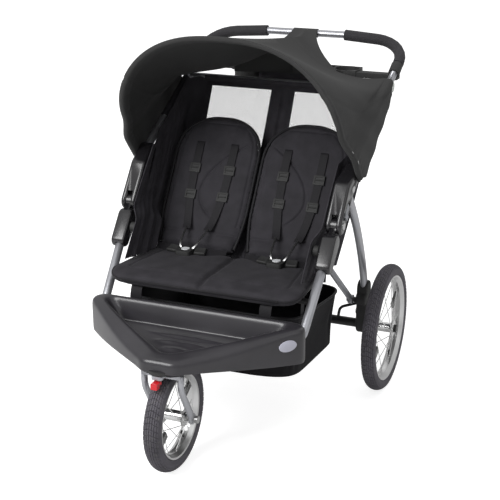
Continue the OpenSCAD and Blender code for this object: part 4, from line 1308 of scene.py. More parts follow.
@dataclass
class Footwell:
    """The moulded footwell as one smooth shell with a rolled lip and three floor ribs."""

    count: int = 112
    wall: float = 3.0
    floor_z: float = 340.0
    outer: tuple = ((290.0, -553.0, 26.0), (36.0, -766.0, 26.0))
    basin_low: tuple = ((214.0, -568.0, 10.0), (12.0, -722.0, 10.0))
    basin_high: tuple = ((268.0, -556.0, 16.0), (20.0, -760.0, 14.0))
    ribs: tuple = ((-604.0, 118.0), (-646.0, 82.0), (-688.0, 42.0))
    roll: tuple = ((0.0, 15.0), (0.045, 7.0), (0.16, 1.6), (0.42, 0.0), (0.68, 1.2), (0.88, 6.0), (1.0, 15.0))
    floor_y: float = -625.0
    basin_rise: float = 82.0
    lips: Twin = (402.0, 354.0)
    lows: Twin = (301.0, 315.0)
    slope_y: float = -545.0
    slope_run: float = 235.0
    plate_aim: Triple = (270.0, -560.0, 343.0)

    def outline(self, posts: Sequence[Sequence[float]], swell: float) -> np.ndarray:
        """Evenly spaced points round the plan of two pairs of round posts.

        Args:
            posts: Left half of the posts, each x, y and radius.
            swell: How far the slanting sides bulge outwards.

        Returns:
            Rows of x and y, from the middle of the rear edge round.
        """
        circles = [(s * x, y, r) for x, y, r in posts for s in (-1, 1)]
        hull = []
        for k in range(720):
            angle = math.radians(90 - k * 0.5)
            aim = (math.cos(angle), math.sin(angle))
            x, y, r = max(circles, key=lambda c: c[0] * aim[0] + c[1] * aim[1] + c[2])
            hull.append((x + r * aim[0], y + r * aim[1]))
        hull = np.array(hull + hull[:1])
        start = (hull[0] + hull[-2]) / 2
        hull[0] = hull[-1] = (0.0, start[1])
        run = np.concatenate([[0.0], np.cumsum(np.linalg.norm(np.diff(hull, axis=0), axis=1))])
        even = np.linspace(0.0, run[-1], self.count + 1)[:-1]
        plan = np.stack([np.interp(even, run, hull[:, i]) for i in (0, 1)], axis=1)
        corner, tip = posts
        for row in plan:
            share = (corner[1] - row[1]) / (corner[1] - tip[1])
            if 0 < share < 1:
                row[0] += math.copysign(swell * math.sin(math.pi * share), row[0])
                row[1] -= swell * 0.6 * math.sin(math.pi * share)
        return plan

    def slope(self, y: float) -> float:
        """Share of the slope down to the front at a distance behind the axle."""
        return ease((self.slope_y - y) / self.slope_run)

    def lip(self, y: float) -> float:
        """Height of the lip's top at a distance behind the axle."""
        return mix(*self.lips, self.slope(y))

    def low(self, y: float) -> float:
        """Height of the skirt's lower edge."""
        return mix(*self.lows, self.slope(y))

    def build(self) -> None:
        """Loft the skirt, the lip, the walls and the floor."""
        outer = self.outline(self.outer, 7.0)
        low = self.outline(self.basin_low, 4.0)
        high = self.outline(self.basin_high, 6.0)
        rows = []
        depth = self.roll[0][1]
        for share in (0.0, 0.35, 0.72):
            rows.append([at(x, y, mix(self.low(y), self.lip(y) - depth, share)) for x, y in outer])
        inner = []
        for foot, brow in zip(low, high):
            top = self.lip(brow[1]) - depth
            inner.append((*along(foot, brow, (top - self.floor_z) / self.basin_rise), top))
        for share, drop in self.roll:
            row = []
            for rim, wall in zip(outer, inner):
                x, y = along(rim, wall[:2], share)
                row.append(at(x, y, self.lip(y if share < 0.5 else wall[1]) - drop))
            rows.append(row)
        for share in (0.35, 0.7, 0.9):
            row = []
            for foot, wall in zip(low, inner):
                row.append(at(*along(wall[:2], foot, share), mix(wall[2], self.floor_z + 3, share**1.15)))
            rows.append(row)
        for share in (1.0, 0.93, 0.82, 0.7, 0.58, 0.46, 0.34, 0.22, 0.1, 0.02):
            level = self.floor_z + 1.6 * ease((share - 0.8) / 0.2)
            row = []
            for foot in low:
                x, y = along((0.0, self.floor_y), foot, share)
                row.append(at(x, y, level + self.rib(x, y)))
            rows.append(row)
        obj = Bench.skin("footwell_shell", rows, loop=True)
        Bench.merge(obj, 1e-6)
        self.cap(obj)
        Bench.apply(obj, "SOLIDIFY", thickness=self.wall * MM, offset=-1.0)
        Bench.apply(obj, "SUBSURF", levels=1, render_levels=1)
        Bench.shade(obj, 80)
        piece(obj, FOOTWELL, "footwell_plastic", "frame")
        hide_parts("footwell")
        # Painted highlight: a pale oval on the lip where the glossy plastic catches the light.
        self.plate(obj)

    def cap(self, obj: Obj) -> None:
        """Close the small hole in the middle of the floor and face the shell upwards.

        Args:
            obj: The shell.
        """
        Bench.solo(obj)
        Bench.mode("EDIT")
        bpy.ops.mesh.select_mode(type="VERT")
        bpy.ops.mesh.select_all(action="DESELECT")
        Bench.mode("OBJECT")
        for vertex in obj.data.vertices[-self.count:]:
            vertex.select = True
        Bench.mode("EDIT")
        bpy.ops.mesh.merge(type="CENTER")
        Bench.mode("OBJECT")
        middle_y = at(0, self.floor_y, 0).y
        floor = max(obj.data.polygons, key=lambda f: -abs(f.center.x) - abs(f.center.y - middle_y))
        if floor.normal.z < 0:
            Bench.mode("EDIT")
            bpy.ops.mesh.select_all(action="SELECT")
            bpy.ops.mesh.flip_normals()
            Bench.mode("OBJECT")

    def rib(self, x: float, y: float) -> float:
        """Rise of the lens-shaped floor ribs at a point."""
        rise = 0.0
        for middle, half in self.ribs:
            lens = max(0.0, 1 - (x / half) ** 2)
            rise += 7.0 * lens * math.exp(-(((y - middle) / (5 + 5 * lens)) ** 2))
        return rise

    def plate(self, shell: Obj) -> None:
        """Paint a highlight on the left lip: a pale glossy oval laid flat on the face that looks at the
        camera.

        Args:
            shell: The footwell's shell, which carries it.
        """
        bpy.context.view_layer.update()
        eye = Vector(Studio.camera_place)
        aim = (at(*self.plate_aim) - eye).normalized()
        found, place, side, _ = shell.ray_cast(eye, aim)
        # The painted highlight oval sits where the camera's ray meets the shell.
        LOG.info("oval plate lies on the shell: %s at %s", found, tuple(place))
        bpy.ops.object.select_all(action="DESELECT")
        bpy.ops.mesh.primitive_cylinder_add(vertices=40, radius=0.5, depth=1)
        obj = bpy.context.view_layer.objects.active
        obj.scale = (0.050, 0.031, 0.006)
        bpy.ops.object.transform_apply(location=False, rotation=False, scale=True)
        Bench.bevel(obj, 0.0012, 2, lambda f: f.normal.z > 0.9)
        along_lip = Vector((0.70, 0.71, 0.12))
        along_lip = (along_lip - side * along_lip.dot(side)).normalized()
        turn = np.array([along_lip, side.cross(along_lip), side]).T
        points = Bench.read(obj, "co") @ turn.T + np.array(place)
        Bench.set_coordinates(obj, points)
        Bench.settle(obj, "oval_plate")
        Bench.shade(obj, 30)
        piece(obj, LIP_HIGHLIGHT_PAINT, "footwell_plastic", "frame")


@dataclass
class SeatPad:
    """The one-piece seat cushion: two crowned seats, a border band and a sewn strip between them."""

    front_y: float = -533.0
    rear_y: float = -264.0
    front_half: float = 291.0
    rear_half: float = 259.0
    top: float = 468.0
    fall: float = 12.0
    low: float = 449.0
    corner: float = 62.0
    nose: float = 0.22
    cols: int = 49
    rows: int = 23

    def share(self, y: float) -> float:
        """Share of the way from front to rear."""
        return (y - self.front_y) / (self.rear_y - self.front_y)

    def dip(self, v: float) -> float:
        """Share of the front edge's droop at a share of the way from front to rear."""
        return ease((self.nose - v) / self.nose)

    def half(self, y: float) -> float:
        """Half width of the pad at a distance along it, with rounded front corners.

        Args:
            y: Distance behind the rear axle.

        Returns:
            The half width in millimetres.
        """
        wide = mix(self.front_half, self.rear_half, self.share(y))
        near = y - self.front_y
        if near < self.corner:
            wide -= self.corner - math.sqrt(max(0.0, self.corner**2 - (self.corner - near) ** 2))
        return wide

    def build(self) -> None:
        """Build the pad, its seams, its piping and the strip between the seats."""
        obj = Bench.pillow("seat_pad", self.shell, self.rows, self.cols)
        floor = (self.low + 1) * MM
        Bench.inflate(obj, 0.0055, 0.008, lambda p: (p[:, 2] < floor) & (p[:, 1] > at(0, -470, 0).y))
        self.sew(obj)
        Bench.shade(obj, 80)
        piece(obj, SEAT_CLOTH, "seat_cloth", "frame")
        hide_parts("seat_cushion")
        self.trim()

    def shell(self, u: float, v: float, back: bool) -> Vector:
        """Point of the pad before it is filled.

        Args:
            u: Across, from -1 to 1.
            v: Share of the way from front to rear.
            back: Whether it lies on the underside.

        Returns:
            The point in metres.
        """
        y = mix(self.front_y, self.rear_y, v)
        full = max(0.0, 1 - abs(u) ** 8) ** 0.5 * max(0.0, 1 - abs(2 * v - 1) ** 10) ** 0.5
        deep = (self.top - self.fall * v - self.low) * 0.5
        reach = deep * mix(0.35, 1.0, full)
        droop = 9.0 * self.dip(v)
        z = self.low + deep - reach - droop * 1.4 if back else self.low + deep + reach - droop
        return at(u * self.half(y), y, z)

    def sew(self, obj: Obj) -> None:
        """Press the sewn lines into the top and let the seats crown between them.

        Args:
            obj: The pad.
        """
        points = Bench.read(obj, "co")
        lift = Bench.read(obj, "normal")
        x = points[:, 0] / MM
        y = points[:, 1] / MM - REAR_AXLE_Y
        upper = np.clip((lift[:, 2] - 0.15) / 0.5, 0.0, 1.0)
        middle = 9.0 * np.exp(-((x / 9.0) ** 2))
        half = np.array([self.half(v) for v in np.clip(y, self.front_y, self.rear_y)])
        side = half - np.abs(x)
        nose = y - self.front_y
        border = np.hypot(np.maximum(0, 60 - side), np.maximum(0, 66 - nose))
        seam = 3.2 * np.exp(-(((border - 16.0) / 3.6) ** 2)) * (np.abs(x) > 12)
        puff = 3.0 * np.sin(np.pi * np.clip(np.abs(x) / 280.0, 0, 1))
        puff = puff * np.sin(np.pi * np.clip(nose / 268.0, 0, 1))
        waves = 0.9 * np.sin(x / 17.0 + y / 31.0) * np.sin(y / 23.0 - x / 47.0)
        points[:, 2] += (puff + waves - middle - seam) * upper * MM
        Bench.set_coordinates(obj, points)

    def edge(self, drop: float) -> list[Vector]:
        """Points round the front and sides at the pad's waist.

        Args:
            drop: How far above the waist, in millimetres.

        Returns:
            The path in metres.
        """
        path = []
        for j in range(41):
            v = 1 - j / 40
            y = mix(self.front_y - 4.0, self.rear_y, v**1.6)
            path.append(at(-self.half(max(y, self.front_y)) - 0.6, y, self.waist(y) + drop))
        front = [at(-p.x / MM, p.y / MM - REAR_AXLE_Y, p.z / MM) for p in reversed(path)]
        return path + front

    def waist(self, y: float) -> float:
        """Height of the pad's widest line."""
        v = min(1.0, max(0.0, self.share(y)))
        return self.low + (self.top - self.fall * v - self.low) * 0.5 - 10.0 * self.dip(v)

    def trim(self) -> None:
        """Lay the piping round the waist and the strip between the seats."""
        piping = Bench.tube("seat_piping", self.edge(4.5), 0.0034)
        piece(piping, PIPING, "seat_cloth", "frame")
        strip = []
        for j in range(30):
            y = mix(self.front_y + 12, self.rear_y - 6, j / 29)
            v = self.share(y)
            strip.append(at(0, y, self.top - self.fall * v - 3.0 - 9.0 * self.dip(v)))
        tape = Bench.ribbon("seat_divider", strip, ACROSS, 0.023, 0.003)
        piece(tape, BLACK_CLOTH, "black_cloth", "frame")


@dataclass
class BackPad:
    """One seat's backrest pad with its piping, curved seam and shoulder harness."""

    side: Side
    base: Twin = (-264.0, 458.0)
    angle: float = 56.6
    length: float = 430.0
    thick: float = 34.0
    half: float = 138.0
    middle: float = 142.0
    head: float = 0.7
    face: float = 14.0
    inset: float = 3.5
    leaf_middle: float = 190.0
    rail: Twin = (-250.0, 436.0)

    @property
    def body(self) -> str:
        """The body that carries the pad."""
        return f"backrest_{self.side.word}"

    @property
    def centre(self) -> float:
        """The pad's middle along X."""
        return self.middle * self.side.value

    def on(self, x: float, s: float, off: float) -> Vector:
        """Point on the backrest.

        Args:
            x: Across from the pad's middle.
            s: Up along the pad from its foot.
            off: Behind the pad's face.

        Returns:
            The point in metres.
        """
        turn = math.radians(self.angle)
        y = self.base[0] + s * math.cos(turn) + off * math.sin(turn)
        z = self.base[1] + s * math.sin(turn) - off * math.cos(turn)
        return at(self.centre + x, y, z)

    def pad_half(self, v: float) -> float:
        """Half width at a share of the length, with a rounded head."""
        if v < self.head:
            return self.half * (0.85 + 0.15 * math.sin(math.radians(min(90.0, 260 * v))))
        return self.half * max(0.02, 1 - ((v - self.head) / 0.302) ** 2.5) ** 0.44

    def local(self, points: np.ndarray) -> tuple[np.ndarray, np.ndarray, np.ndarray]:
        """Split points into across, up along and behind, in millimetres.

        Args:
            points: Rows of places in metres.

        Returns:
            Three rows in millimetres.
        """
        turn = math.radians(self.angle)
        x = points[:, 0] / MM - self.centre
        y = points[:, 1] / MM - REAR_AXLE_Y - self.base[0]
        z = points[:, 2] / MM - self.base[1]
        s = y * math.cos(turn) + z * math.sin(turn)
        off = y * math.sin(turn) - z * math.cos(turn)
        return x, s, off

    def build(self) -> None:
        """Build the pad, its trim and its harness."""
        obj = Bench.pillow(f"back_pad_{self.side.word}", self.shell, 33, 25)
        Bench.inflate(obj, 0.005, 0.007, self.held)
        self.sew(obj)
        Bench.shade(obj, 80)
        piece(obj, BACK_PAD_CLOTH, "seat_cloth", self.body)
        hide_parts(f"seat_back_{self.side.word}")
        self.pull_in(obj)
        self.trim()
        Harness(self).build()

    def shell(self, u: float, v: float, back: bool) -> Vector:
        """Point of the pad before it is filled.

        Args:
            u: Across, from -1 to 1.
            v: Share of the way from foot to head.
            back: Whether it lies on the back.

        Returns:
            The point in metres.
        """
        v = mix(0.035, 0.997, v)
        swell = max(0.0, 1 - abs(u) ** 6) ** 0.5 * max(0.0, 1 - abs(2 * v - 1) ** 12) ** 0.5
        thin = (self.thick - self.face) * mix(0.34, 0.0, swell)
        off = self.thick - thin - 4 if back else self.face + thin + 4
        return self.on(u * (self.pad_half(v) - self.inset), self.length * v, off)

    def held(self, points: np.ndarray) -> np.ndarray:
        """Points of the pad's back that the cloth behind holds."""
        _, _, off = self.local(points)
        return off > self.thick - 6.5

    def sew(self, obj: Obj) -> None:
        """Press the border, the leaf-shaped seam and the bolster's seam into the face.

        Args:
            obj: The pad.
        """
        points = Bench.read(obj, "co")
        x, s, off = self.local(points)
        face = np.clip(((self.thick + self.face) * 0.5 - off) / 6.0, 0.0, 1.0)
        inner = -x * self.side.value
        rise = s - self.leaf_middle
        bend = np.where(rise > 0.0, 0.0048, 0.0085)
        leaf = -25.0 + bend * rise**2
        steep = np.sqrt(1 + (2 * bend * rise) ** 2)
        seam = 4.6 * np.exp(-(((inner - leaf) / steep / 3.4) ** 2)) * np.clip((s - 112) / 10, 0, 1)
        seam *= np.clip((358 - s) / 12, 0, 1)
        half = np.array([self.pad_half(v) for v in np.clip(s / self.length, 0.0, 0.985)])
        rim = np.minimum(half - np.abs(x), np.maximum(0.0, self.length - s))
        border = 2.4 * np.exp(-(((rim - 20.0) / 3.4) ** 2)) * (s > 90)
        bolster = 7.0 * np.exp(-(((s - 34.0) / 20.0) ** 2)) * np.clip((half - np.abs(x)) / 30.0, 0, 1)
        tuck = 3.4 * np.exp(-(((s - 64.0) / 5.0) ** 2)) * np.clip((np.abs(x) - 40.0) / 30.0, 0, 1)
        waves = 0.9 * np.sin(x / 15.0 + s / 27.0) * np.sin(s / 19.0 - x / 40.0)
        push = (seam + border + tuck - bolster - waves) * face
        turn = math.radians(self.angle)
        points[:, 1] += push * math.sin(turn) * MM
        points[:, 2] -= push * math.cos(turn) * MM
        Bench.set_coordinates(obj, points)

    def rim(self, off: float, grow: float, low: float) -> list[Vector]:
        """Points round the pad's edge from its lower outer corner over the head.

        Args:
            off: Distance behind the face.
            grow: How far outside the edge.
            low: Share of the length where it starts.

        Returns:
            The path.
        """
        half_path = []
        for j in range(48):
            v = mix(low, 0.9995, math.sin(math.pi / 2 * j / 47))
            half_path.append((self.pad_half(v) + grow, self.length * v))
        path = [self.on(x, s, off) for x, s in half_path]
        return path + [self.on(-x, s, off) for x, s in reversed(half_path)]

    def pull_in(self, obj: Obj) -> None:
        """Give a piece its own copy of its mesh.

        Args:
            obj: The piece.
        """
        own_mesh(obj)

    def trim(self) -> None:
        """Lay the piping round the edge of the face and the sleeve round the rear rail."""
        piping = Bench.tube(f"back_piping_{self.side.word}", self.rim(self.face + 7.0, -3.0, 0.06), 0.0046)
        piece(piping, PIPING, "seat_cloth", self.body)
        self.pull_in(piping)
        rows = []
        for x in np.linspace(-100, 100, 9):
            row = []
            for k in range(20):
                angle = math.radians(k * 18)
                radius = 11.0 + 0.5 * math.sin(x / 9.0)
                y = self.rail[0] + radius * math.cos(angle)
                row.append(at(self.centre + x, y, self.rail[1] + radius * math.sin(angle)))
            rows.append(row)
        sleeve = Bench.skin(f"rail_sleeve_{self.side.word}", rows, loop=True)
        Bench.apply(sleeve, "SOLIDIFY", thickness=0.0016, offset=-1.0)
        Bench.merge(sleeve, 1e-7)
        Bench.shade(sleeve, 50)
        piece(sleeve, BLACK_CLOTH, "seat_cloth", self.body)


@dataclass
class Harness:
    """Shoulder straps, adjusters, waist straps and crotch strap of one seat."""

    pad: BackPad
    spread: float = 56.0
    width: float = 25.0
    buckle_y: float = -312.0
    seat_z: float = 464.0
    seat_slope: float = 0.0436

    def build(self) -> None:
        """Build the straps that lie on the pad and those on the seat."""
        self.shoulder()
        self.waist()
        self.crotch()
        self.tongues()

    def shoulder(self) -> None:
        """Run two straps from their slots down the pad to the buckle."""
        word = self.pad.side.word
        straps = []
        slides = []
        for s in (-1, 1):
            path = []
            for s_at, x, off in (
                (348, self.spread, 2.0), (342, self.spread, -3.0), (300, self.spread, -4.0),
                (230, self.spread - 1, -4.2), (176, self.spread - 4, -4.2), (120, self.spread - 12, -6.0),
                (88, self.spread - 18, -10.0), (68, self.spread - 22, -17.0)
            ):
                path.append(self.pad.on(s * x, s_at, self.pad.face - 2 + off))
            path = self.rounded(path, 5)
            straps.append(Bench.ribbon(f"strap_{word}_{s}", path, ACROSS, self.width * MM))
            for s_at, x in ((178, self.spread - 4), (262, self.spread)):
                slides.append(self.slide(f"slide_{word}_{s}_{s_at}", s * x, s_at))
        strap = Bench.joined(f"shoulder_straps_{word}", straps)
        piece(strap, TAPE, "webbing")
        self.pad.body
        self.pad.on(0, 50, -20)
        self.pad.on(0, 125, -4)
        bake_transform(strap)
        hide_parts(f"harness_{word}")
        piece(Bench.joined(f"strap_slides_{word}", slides), BUCKLE_PLASTIC, "buckle_plastic", self.pad.body)

    @staticmethod
    def rounded(path: Sequence[Vector], steps: int) -> list[Vector]:
        """Pass a smooth curve through points.

        Args:
            path: The points.
            steps: Steps from each point to the next.

        Returns:
            The curve's points.
        """
        out = []
        last = len(path) - 1
        for k in range(last):
            p0, p1, p2, p3 = path[max(0, k - 1)], path[k], path[k + 1], path[min(last, k + 2)]
            for i in range(steps):
                t = i / steps
                out.append(
                    0.5 * (2 * p1 + (p2 - p0) * t + (2 * p0 - 5 * p1 + 4 * p2 - p3) * t**2
                           + (3 * p1 - p0 - 3 * p2 + p3) * t**3)
                )
        return out + [path[last]]

    def slide(self, name: str, x: float, s_at: float) -> Obj:
        """Model a strap slide: a rounded plate with two slots and a middle bar.

        Args:
            name: Its name.
            x: Across from the pad's middle.
            s_at: Up along the pad.

        Returns:
            The slide.
        """
        off = self.pad.face - 7.0
        obj = Bench.block(
            name, self.pad.on(x, s_at, off), (math.radians(self.pad.angle), 0, 0), (0.035, 0.030, 0.0045),
            (0.0016, 2), lambda f: f.normal.z > 0.99, [(0.004, 0.0), (0.0008, -0.0016)]
        )
        ends = [self.pad.on(x + reach, s_at, off - 2.4) for reach in (-13, 13)]
        bar = Bench.tube(name + "_bar", ends, 0.0018)
        return Bench.joined(name, [obj, bar])

    def seat(self, x: float, y: float, up: float) -> Vector:
        """Point over the seat's top, measured from the pad's middle."""
        return at(self.pad.centre + x, y, self.seat_z + (self.buckle_y - y) * self.seat_slope + up)

    def waist(self) -> None:
        """Lay the waist straps from the buckle to the seat's sides."""
        straps = []
        for s in (-1, 1):
            path = self.rounded(
                [
                    self.seat(s * 20, -306, 9), self.seat(s * 42, -301, 11), self.seat(s * 70, -290, 8),
                    self.seat(s * 96, -280, 5), self.seat(s * 112, -272, 3)
                ], 5
            )
            across = []
            for k in range(len(path)):
                lean = math.radians(mix(12, 48, k / (len(path) - 1)))
                across.append(Vector((0, math.cos(lean), math.sin(lean))))
            straps.append(Bench.ribbon(f"waist_{s}", path, across, self.width * MM))
        word = self.pad.side.word
        piece(Bench.joined(f"waist_straps_{word}", straps), TAPE, "webbing", "frame")

    def crotch(self) -> None:
        """Bring the crotch strap up through the seat to the buckle."""
        path = self.rounded(
            [
                self.seat(0, -376, -6), self.seat(0, -374, 1.5), self.seat(0, -366, 3.2),
                self.seat(0, -340, 2.4), self.seat(0, -300, 2.2)
            ], 5
        )
        word = self.pad.side.word
        strap = Bench.ribbon(f"crotch_webbing_{word}", path, ACROSS, self.width * MM)
        piece(strap, TAPE, "webbing", "frame")
        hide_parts(f"crotch_strap_{word}")

    def tongues(self) -> None:
        """Hook the shoulder straps and clip the waist straps into the buckle."""
        word = self.pad.side.word
        parts = []
        hooks = []
        for s in (-1, 1):
            path = self.rounded(
                [
                    self.pad.on(s * (self.spread - 21), 72, self.pad.face - 18), self.seat(s * 26, -288, 30),
                    self.seat(s * 18, -302, 17), self.seat(s * 12, -309, 12)
                ], 4
            )
            hooks.append(Bench.ribbon(f"hook_{word}_{s}", path, ACROSS, 0.0062, 0.003))
            parts.append(self.plug(f"plug_{word}_{s}", s))
        piece(Bench.joined(f"buckle_plugs_{word}", parts), BUCKLE_PLASTIC, "buckle_plastic", "frame")
        hook = Bench.joined(f"buckle_hooks_{word}", hooks)
        piece(hook, AXLE_STEEL, "axle_steel")
        self.pad.body
        self.pad.on(0, 30, -20)
        self.pad.on(0, 72, -4)
        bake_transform(hook)

    def plug(self, name: str, s: int) -> Obj:
        """Model a waist clip beside the buckle: a rounded block with a sunk thumb rest.

        Args:
            name: Its name.
            s: Which side of the buckle, 1 or -1.

        Returns:
            The clip.
        """
        return Bench.block(
            name, self.seat(s * 43, -301, 12), (math.radians(14), 0, math.radians(9 * s)),
            (0.034, 0.030, 0.010), (0.0035, 3), lambda f: f.normal.z > 0.99, [(0.004, -0.0014)]
        )


@dataclass
class ClothBack:
    """The cloth that hangs from the cross bar behind the seats, with two net windows."""

    top: Twin = (113.3, 896.7)
    foot: Twin = (-200.0, 442.0)
    half: float = 255.0
    sag: float = 26.0
    apron: float = 46.0
    bar: Twin = (119.1, 905.1)
    bar_half: float = 262.0
    windows: tuple = ((-236.0, -36.0, 0.03, 0.44), (40.0, 236.0, 0.03, 0.44))

    @property
    def run(self) -> float:
        """Length from the top to the foot in millimetres."""
        return math.hypot(self.foot[0] - self.top[0], self.foot[1] - self.top[1])

    def point(self, x: float, v: float) -> Vector:
        """Point of the cloth at x and at the share v down from the cross bar, past 1 on the apron below.

        Args:
            x: Across from the middle.
            v: Share of the way down.

        Returns:
            The point in metres.
        """
        if v > 1:
            low = self.point(x, 1.0)
            return low + Vector((0, -0.006, -self.apron * MM)) * ((v - 1) / 0.1)
        y = mix(self.top[0], self.foot[0], v)
        z = mix(self.top[1], self.foot[1], v)
        rear = (-(self.foot[1] - self.top[1]) / self.run, (self.foot[0] - self.top[0]) / self.run)
        off = 1.5 + self.sag * math.sin(math.pi * v)
        pleat = 5.0 * math.exp(-((x / 26.0) ** 2)) * math.sin(x / 4.2) * ease(v / 0.1)
        off += pleat + 1.4 * math.sin(x / 31.0) * math.sin(math.pi * v)
        return at(x, y + rear[0] * off, z + rear[1] * off)

    def in_window(self, x: float, v: float) -> bool:
        """Whether a place lies in one of the net windows."""
        return any(a < x < b and c < v < d for a, b, c, d in self.windows)

    def build(self) -> None:
        """Build the cloth, the nets and the sleeve round the cross bar."""
        sides = {w for win in self.windows for w in win[:2]}
        ends = {w for win in self.windows for w in win[2:]}
        xs = sorted(set(np.linspace(-self.half, self.half, 103)) | sides)
        vs = sorted(set(np.linspace(0, 1, 61)) | ends | {1.03, 1.06, 1.1})
        rows = [[self.point(x, v) for x in xs] for v in vs]
        for name, net in (("back_cloth", False), ("back_window_nets", True)):
            obj = Bench.skin(name, rows)
            self.keep(obj, xs, vs, net)
            area = Bench.area(obj)
            if not net:
                Bench.apply(obj, "SOLIDIFY", thickness=0.002, offset=0.0)
            Bench.shade(obj, 70)
            piece(obj, WINDOW_NET if net else BLACK_CLOTH, "mesh_cloth")
            self.point(0, 0.33)
            self.point(0, 0.0)
            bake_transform(obj)
            if not net:
                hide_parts("back_sling")
        self.sleeve()

    def keep(self, obj: Obj, xs: Sequence[float], vs: Sequence[float], net: bool) -> None:
        """Delete the faces that belong to the other of cloth and net.

        Args:
            obj: The skin.
            xs: Places of its columns.
            vs: Places of its rows.
            net: Whether the net is kept.
        """
        def other(face: bpy.types.MeshPolygon) -> bool:
            """Whether a face belongs to the other one."""
            j, i = divmod(face.index, len(xs) - 1)
            return self.in_window((xs[i] + xs[i + 1]) / 2, (vs[j] + vs[j + 1]) / 2) != net

        Bench.choose(obj, other)
        bpy.ops.mesh.delete(type="FACE")
        Bench.mode("OBJECT")

    def sleeve(self) -> None:
        """Wrap the cloth's hem round the cross bar, open at the handle tubes."""
        rows = []
        for x in np.linspace(-self.bar_half, self.bar_half, 41):
            row = []
            for k in range(22):
                angle = math.radians(-205 + k * 225 / 21)
                radius = 11.6 + 0.5 * math.sin(x / 13.0 + k)
                y = self.bar[0] + radius * math.cos(angle)
                row.append(at(x, y, self.bar[1] + radius * math.sin(angle)))
            rows.append(row)
        obj, _ = Bench.sheet("cross_bar_sleeve", rows, 0.0014, 1.0, 60)
        piece(obj, BLACK_CLOTH, "mesh_cloth", "handle")


@dataclass
class SideCloth:
    """The cloth wing beside one seat, from the front tube and the handle in to the cloth back."""

    side: Side
    back: ClothBack
    low_front: Triple = (266.0, -452.0, 480.0)
    top_y: Twin = (-214.0, 112.0)
    over_tube: float = 41.0
    tube_x: Twin = (289.0, 310.0)
    clear_x: Twin = (290.0, 302.0)
    cols: int = 72
    rows: int = 40

    def lower(self, u: float) -> np.ndarray:
        """Point of the lower edge, from front to rear."""
        x, y, z = along(self.low_front, self.rear(0.0), u)
        return np.array((x, y, z + 12.0 * ease((u - 0.5) / 0.25) * ease((1 - u) / 0.1)))

    def upper(self, u: float) -> np.ndarray:
        """Point of the upper edge, which lies against the handle tube and turns in to the cloth back.

        Args:
            u: Share of the way from front to rear.

        Returns:
            The point in millimetres.
        """
        turned = ease((u - 0.84) / 0.16)
        place = self.rear(1.0)
        y = mix(*self.top_y, u)
        z = tube_height(y) + self.over_tube - 25.0 * math.sin(math.pi * u) ** 0.6
        x = mix(*self.tube_x, ease(u / 0.3))
        return np.array(along((x, y, z), place, turned))

    def front(self, t: float) -> np.ndarray:
        """Point of the front edge, from its low end up, along the hinge shells."""
        low, high = self.lower(0.0), self.upper(0.0)
        _, y, z = along(low, high, t)
        x = mix(low[0], high[0] - 2.0, ease((t - 0.3) / 0.15))
        return np.array((x, y, z + 8.0 * math.sin(math.pi * t)))

    def rear(self, t: float) -> np.ndarray:
        """Point of the rear edge, sewn to the cloth back."""
        place = self.back.point(self.back.half, mix(0.995, 0.0, t))
        return np.array((place.x / MM - 7.0, place.y / MM - REAR_AXLE_Y + 4.0, place.z / MM))

    def point(self, u: float, t: float) -> Vector:
        """Point of the cloth from front to rear and from low to high, hung between its four edges.

        Args:
            u: Share of the way from front to rear.
            t: Share of the way up.

        Returns:
            The point in metres.
        """
        low, high = self.lower(u), self.upper(u)
        place = low + (high - low) * t
        for share, edge, a, b in (
            (1 - u, self.front(t), self.lower(0.0), self.upper(0.0)),
            (u, self.rear(t), self.lower(1.0), self.upper(1.0)),
        ):
            place = place + (edge - a - (b - a) * t) * share
        start = mix(0.62, 0.25, ease((t - 0.15) / 0.2))
        full = ease((u - start) / 0.28) * ease((1 - u) / 0.08) * ease((1 - t) / 0.25)
        x = mix(place[0], max(place[0], mix(*self.clear_x, t)), full)
        fold = math.sin(2 * math.pi * (4.2 * u + 0.25 * t))
        fold = fold + 0.5 * math.sin(2 * math.pi * (9 * u - 0.4 * t) + 1)
        held = math.sin(math.pi * u) ** 0.5 * (1 - 0.8 * ease((t - 0.7) / 0.3))
        return at(self.side.value * (x + 4.2 * fold * held), place[1], place[2])

    def build(self) -> None:
        """Build the wing."""
        word = self.side.word
        rows = []
        for j in range(self.rows):
            rows.append([self.point(i / (self.cols - 1), j / (self.rows - 1)) for i in range(self.cols)])
        obj, area = Bench.sheet(f"side_cloth_{word}", rows, 0.002, 0.0, 70)
        piece(obj, BLACK_CLOTH, "black_cloth")
        self.back.point(0, 0.33)
        self.back.point(0, 0.0)
        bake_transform(obj)
        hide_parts(f"side_wing_{word}")


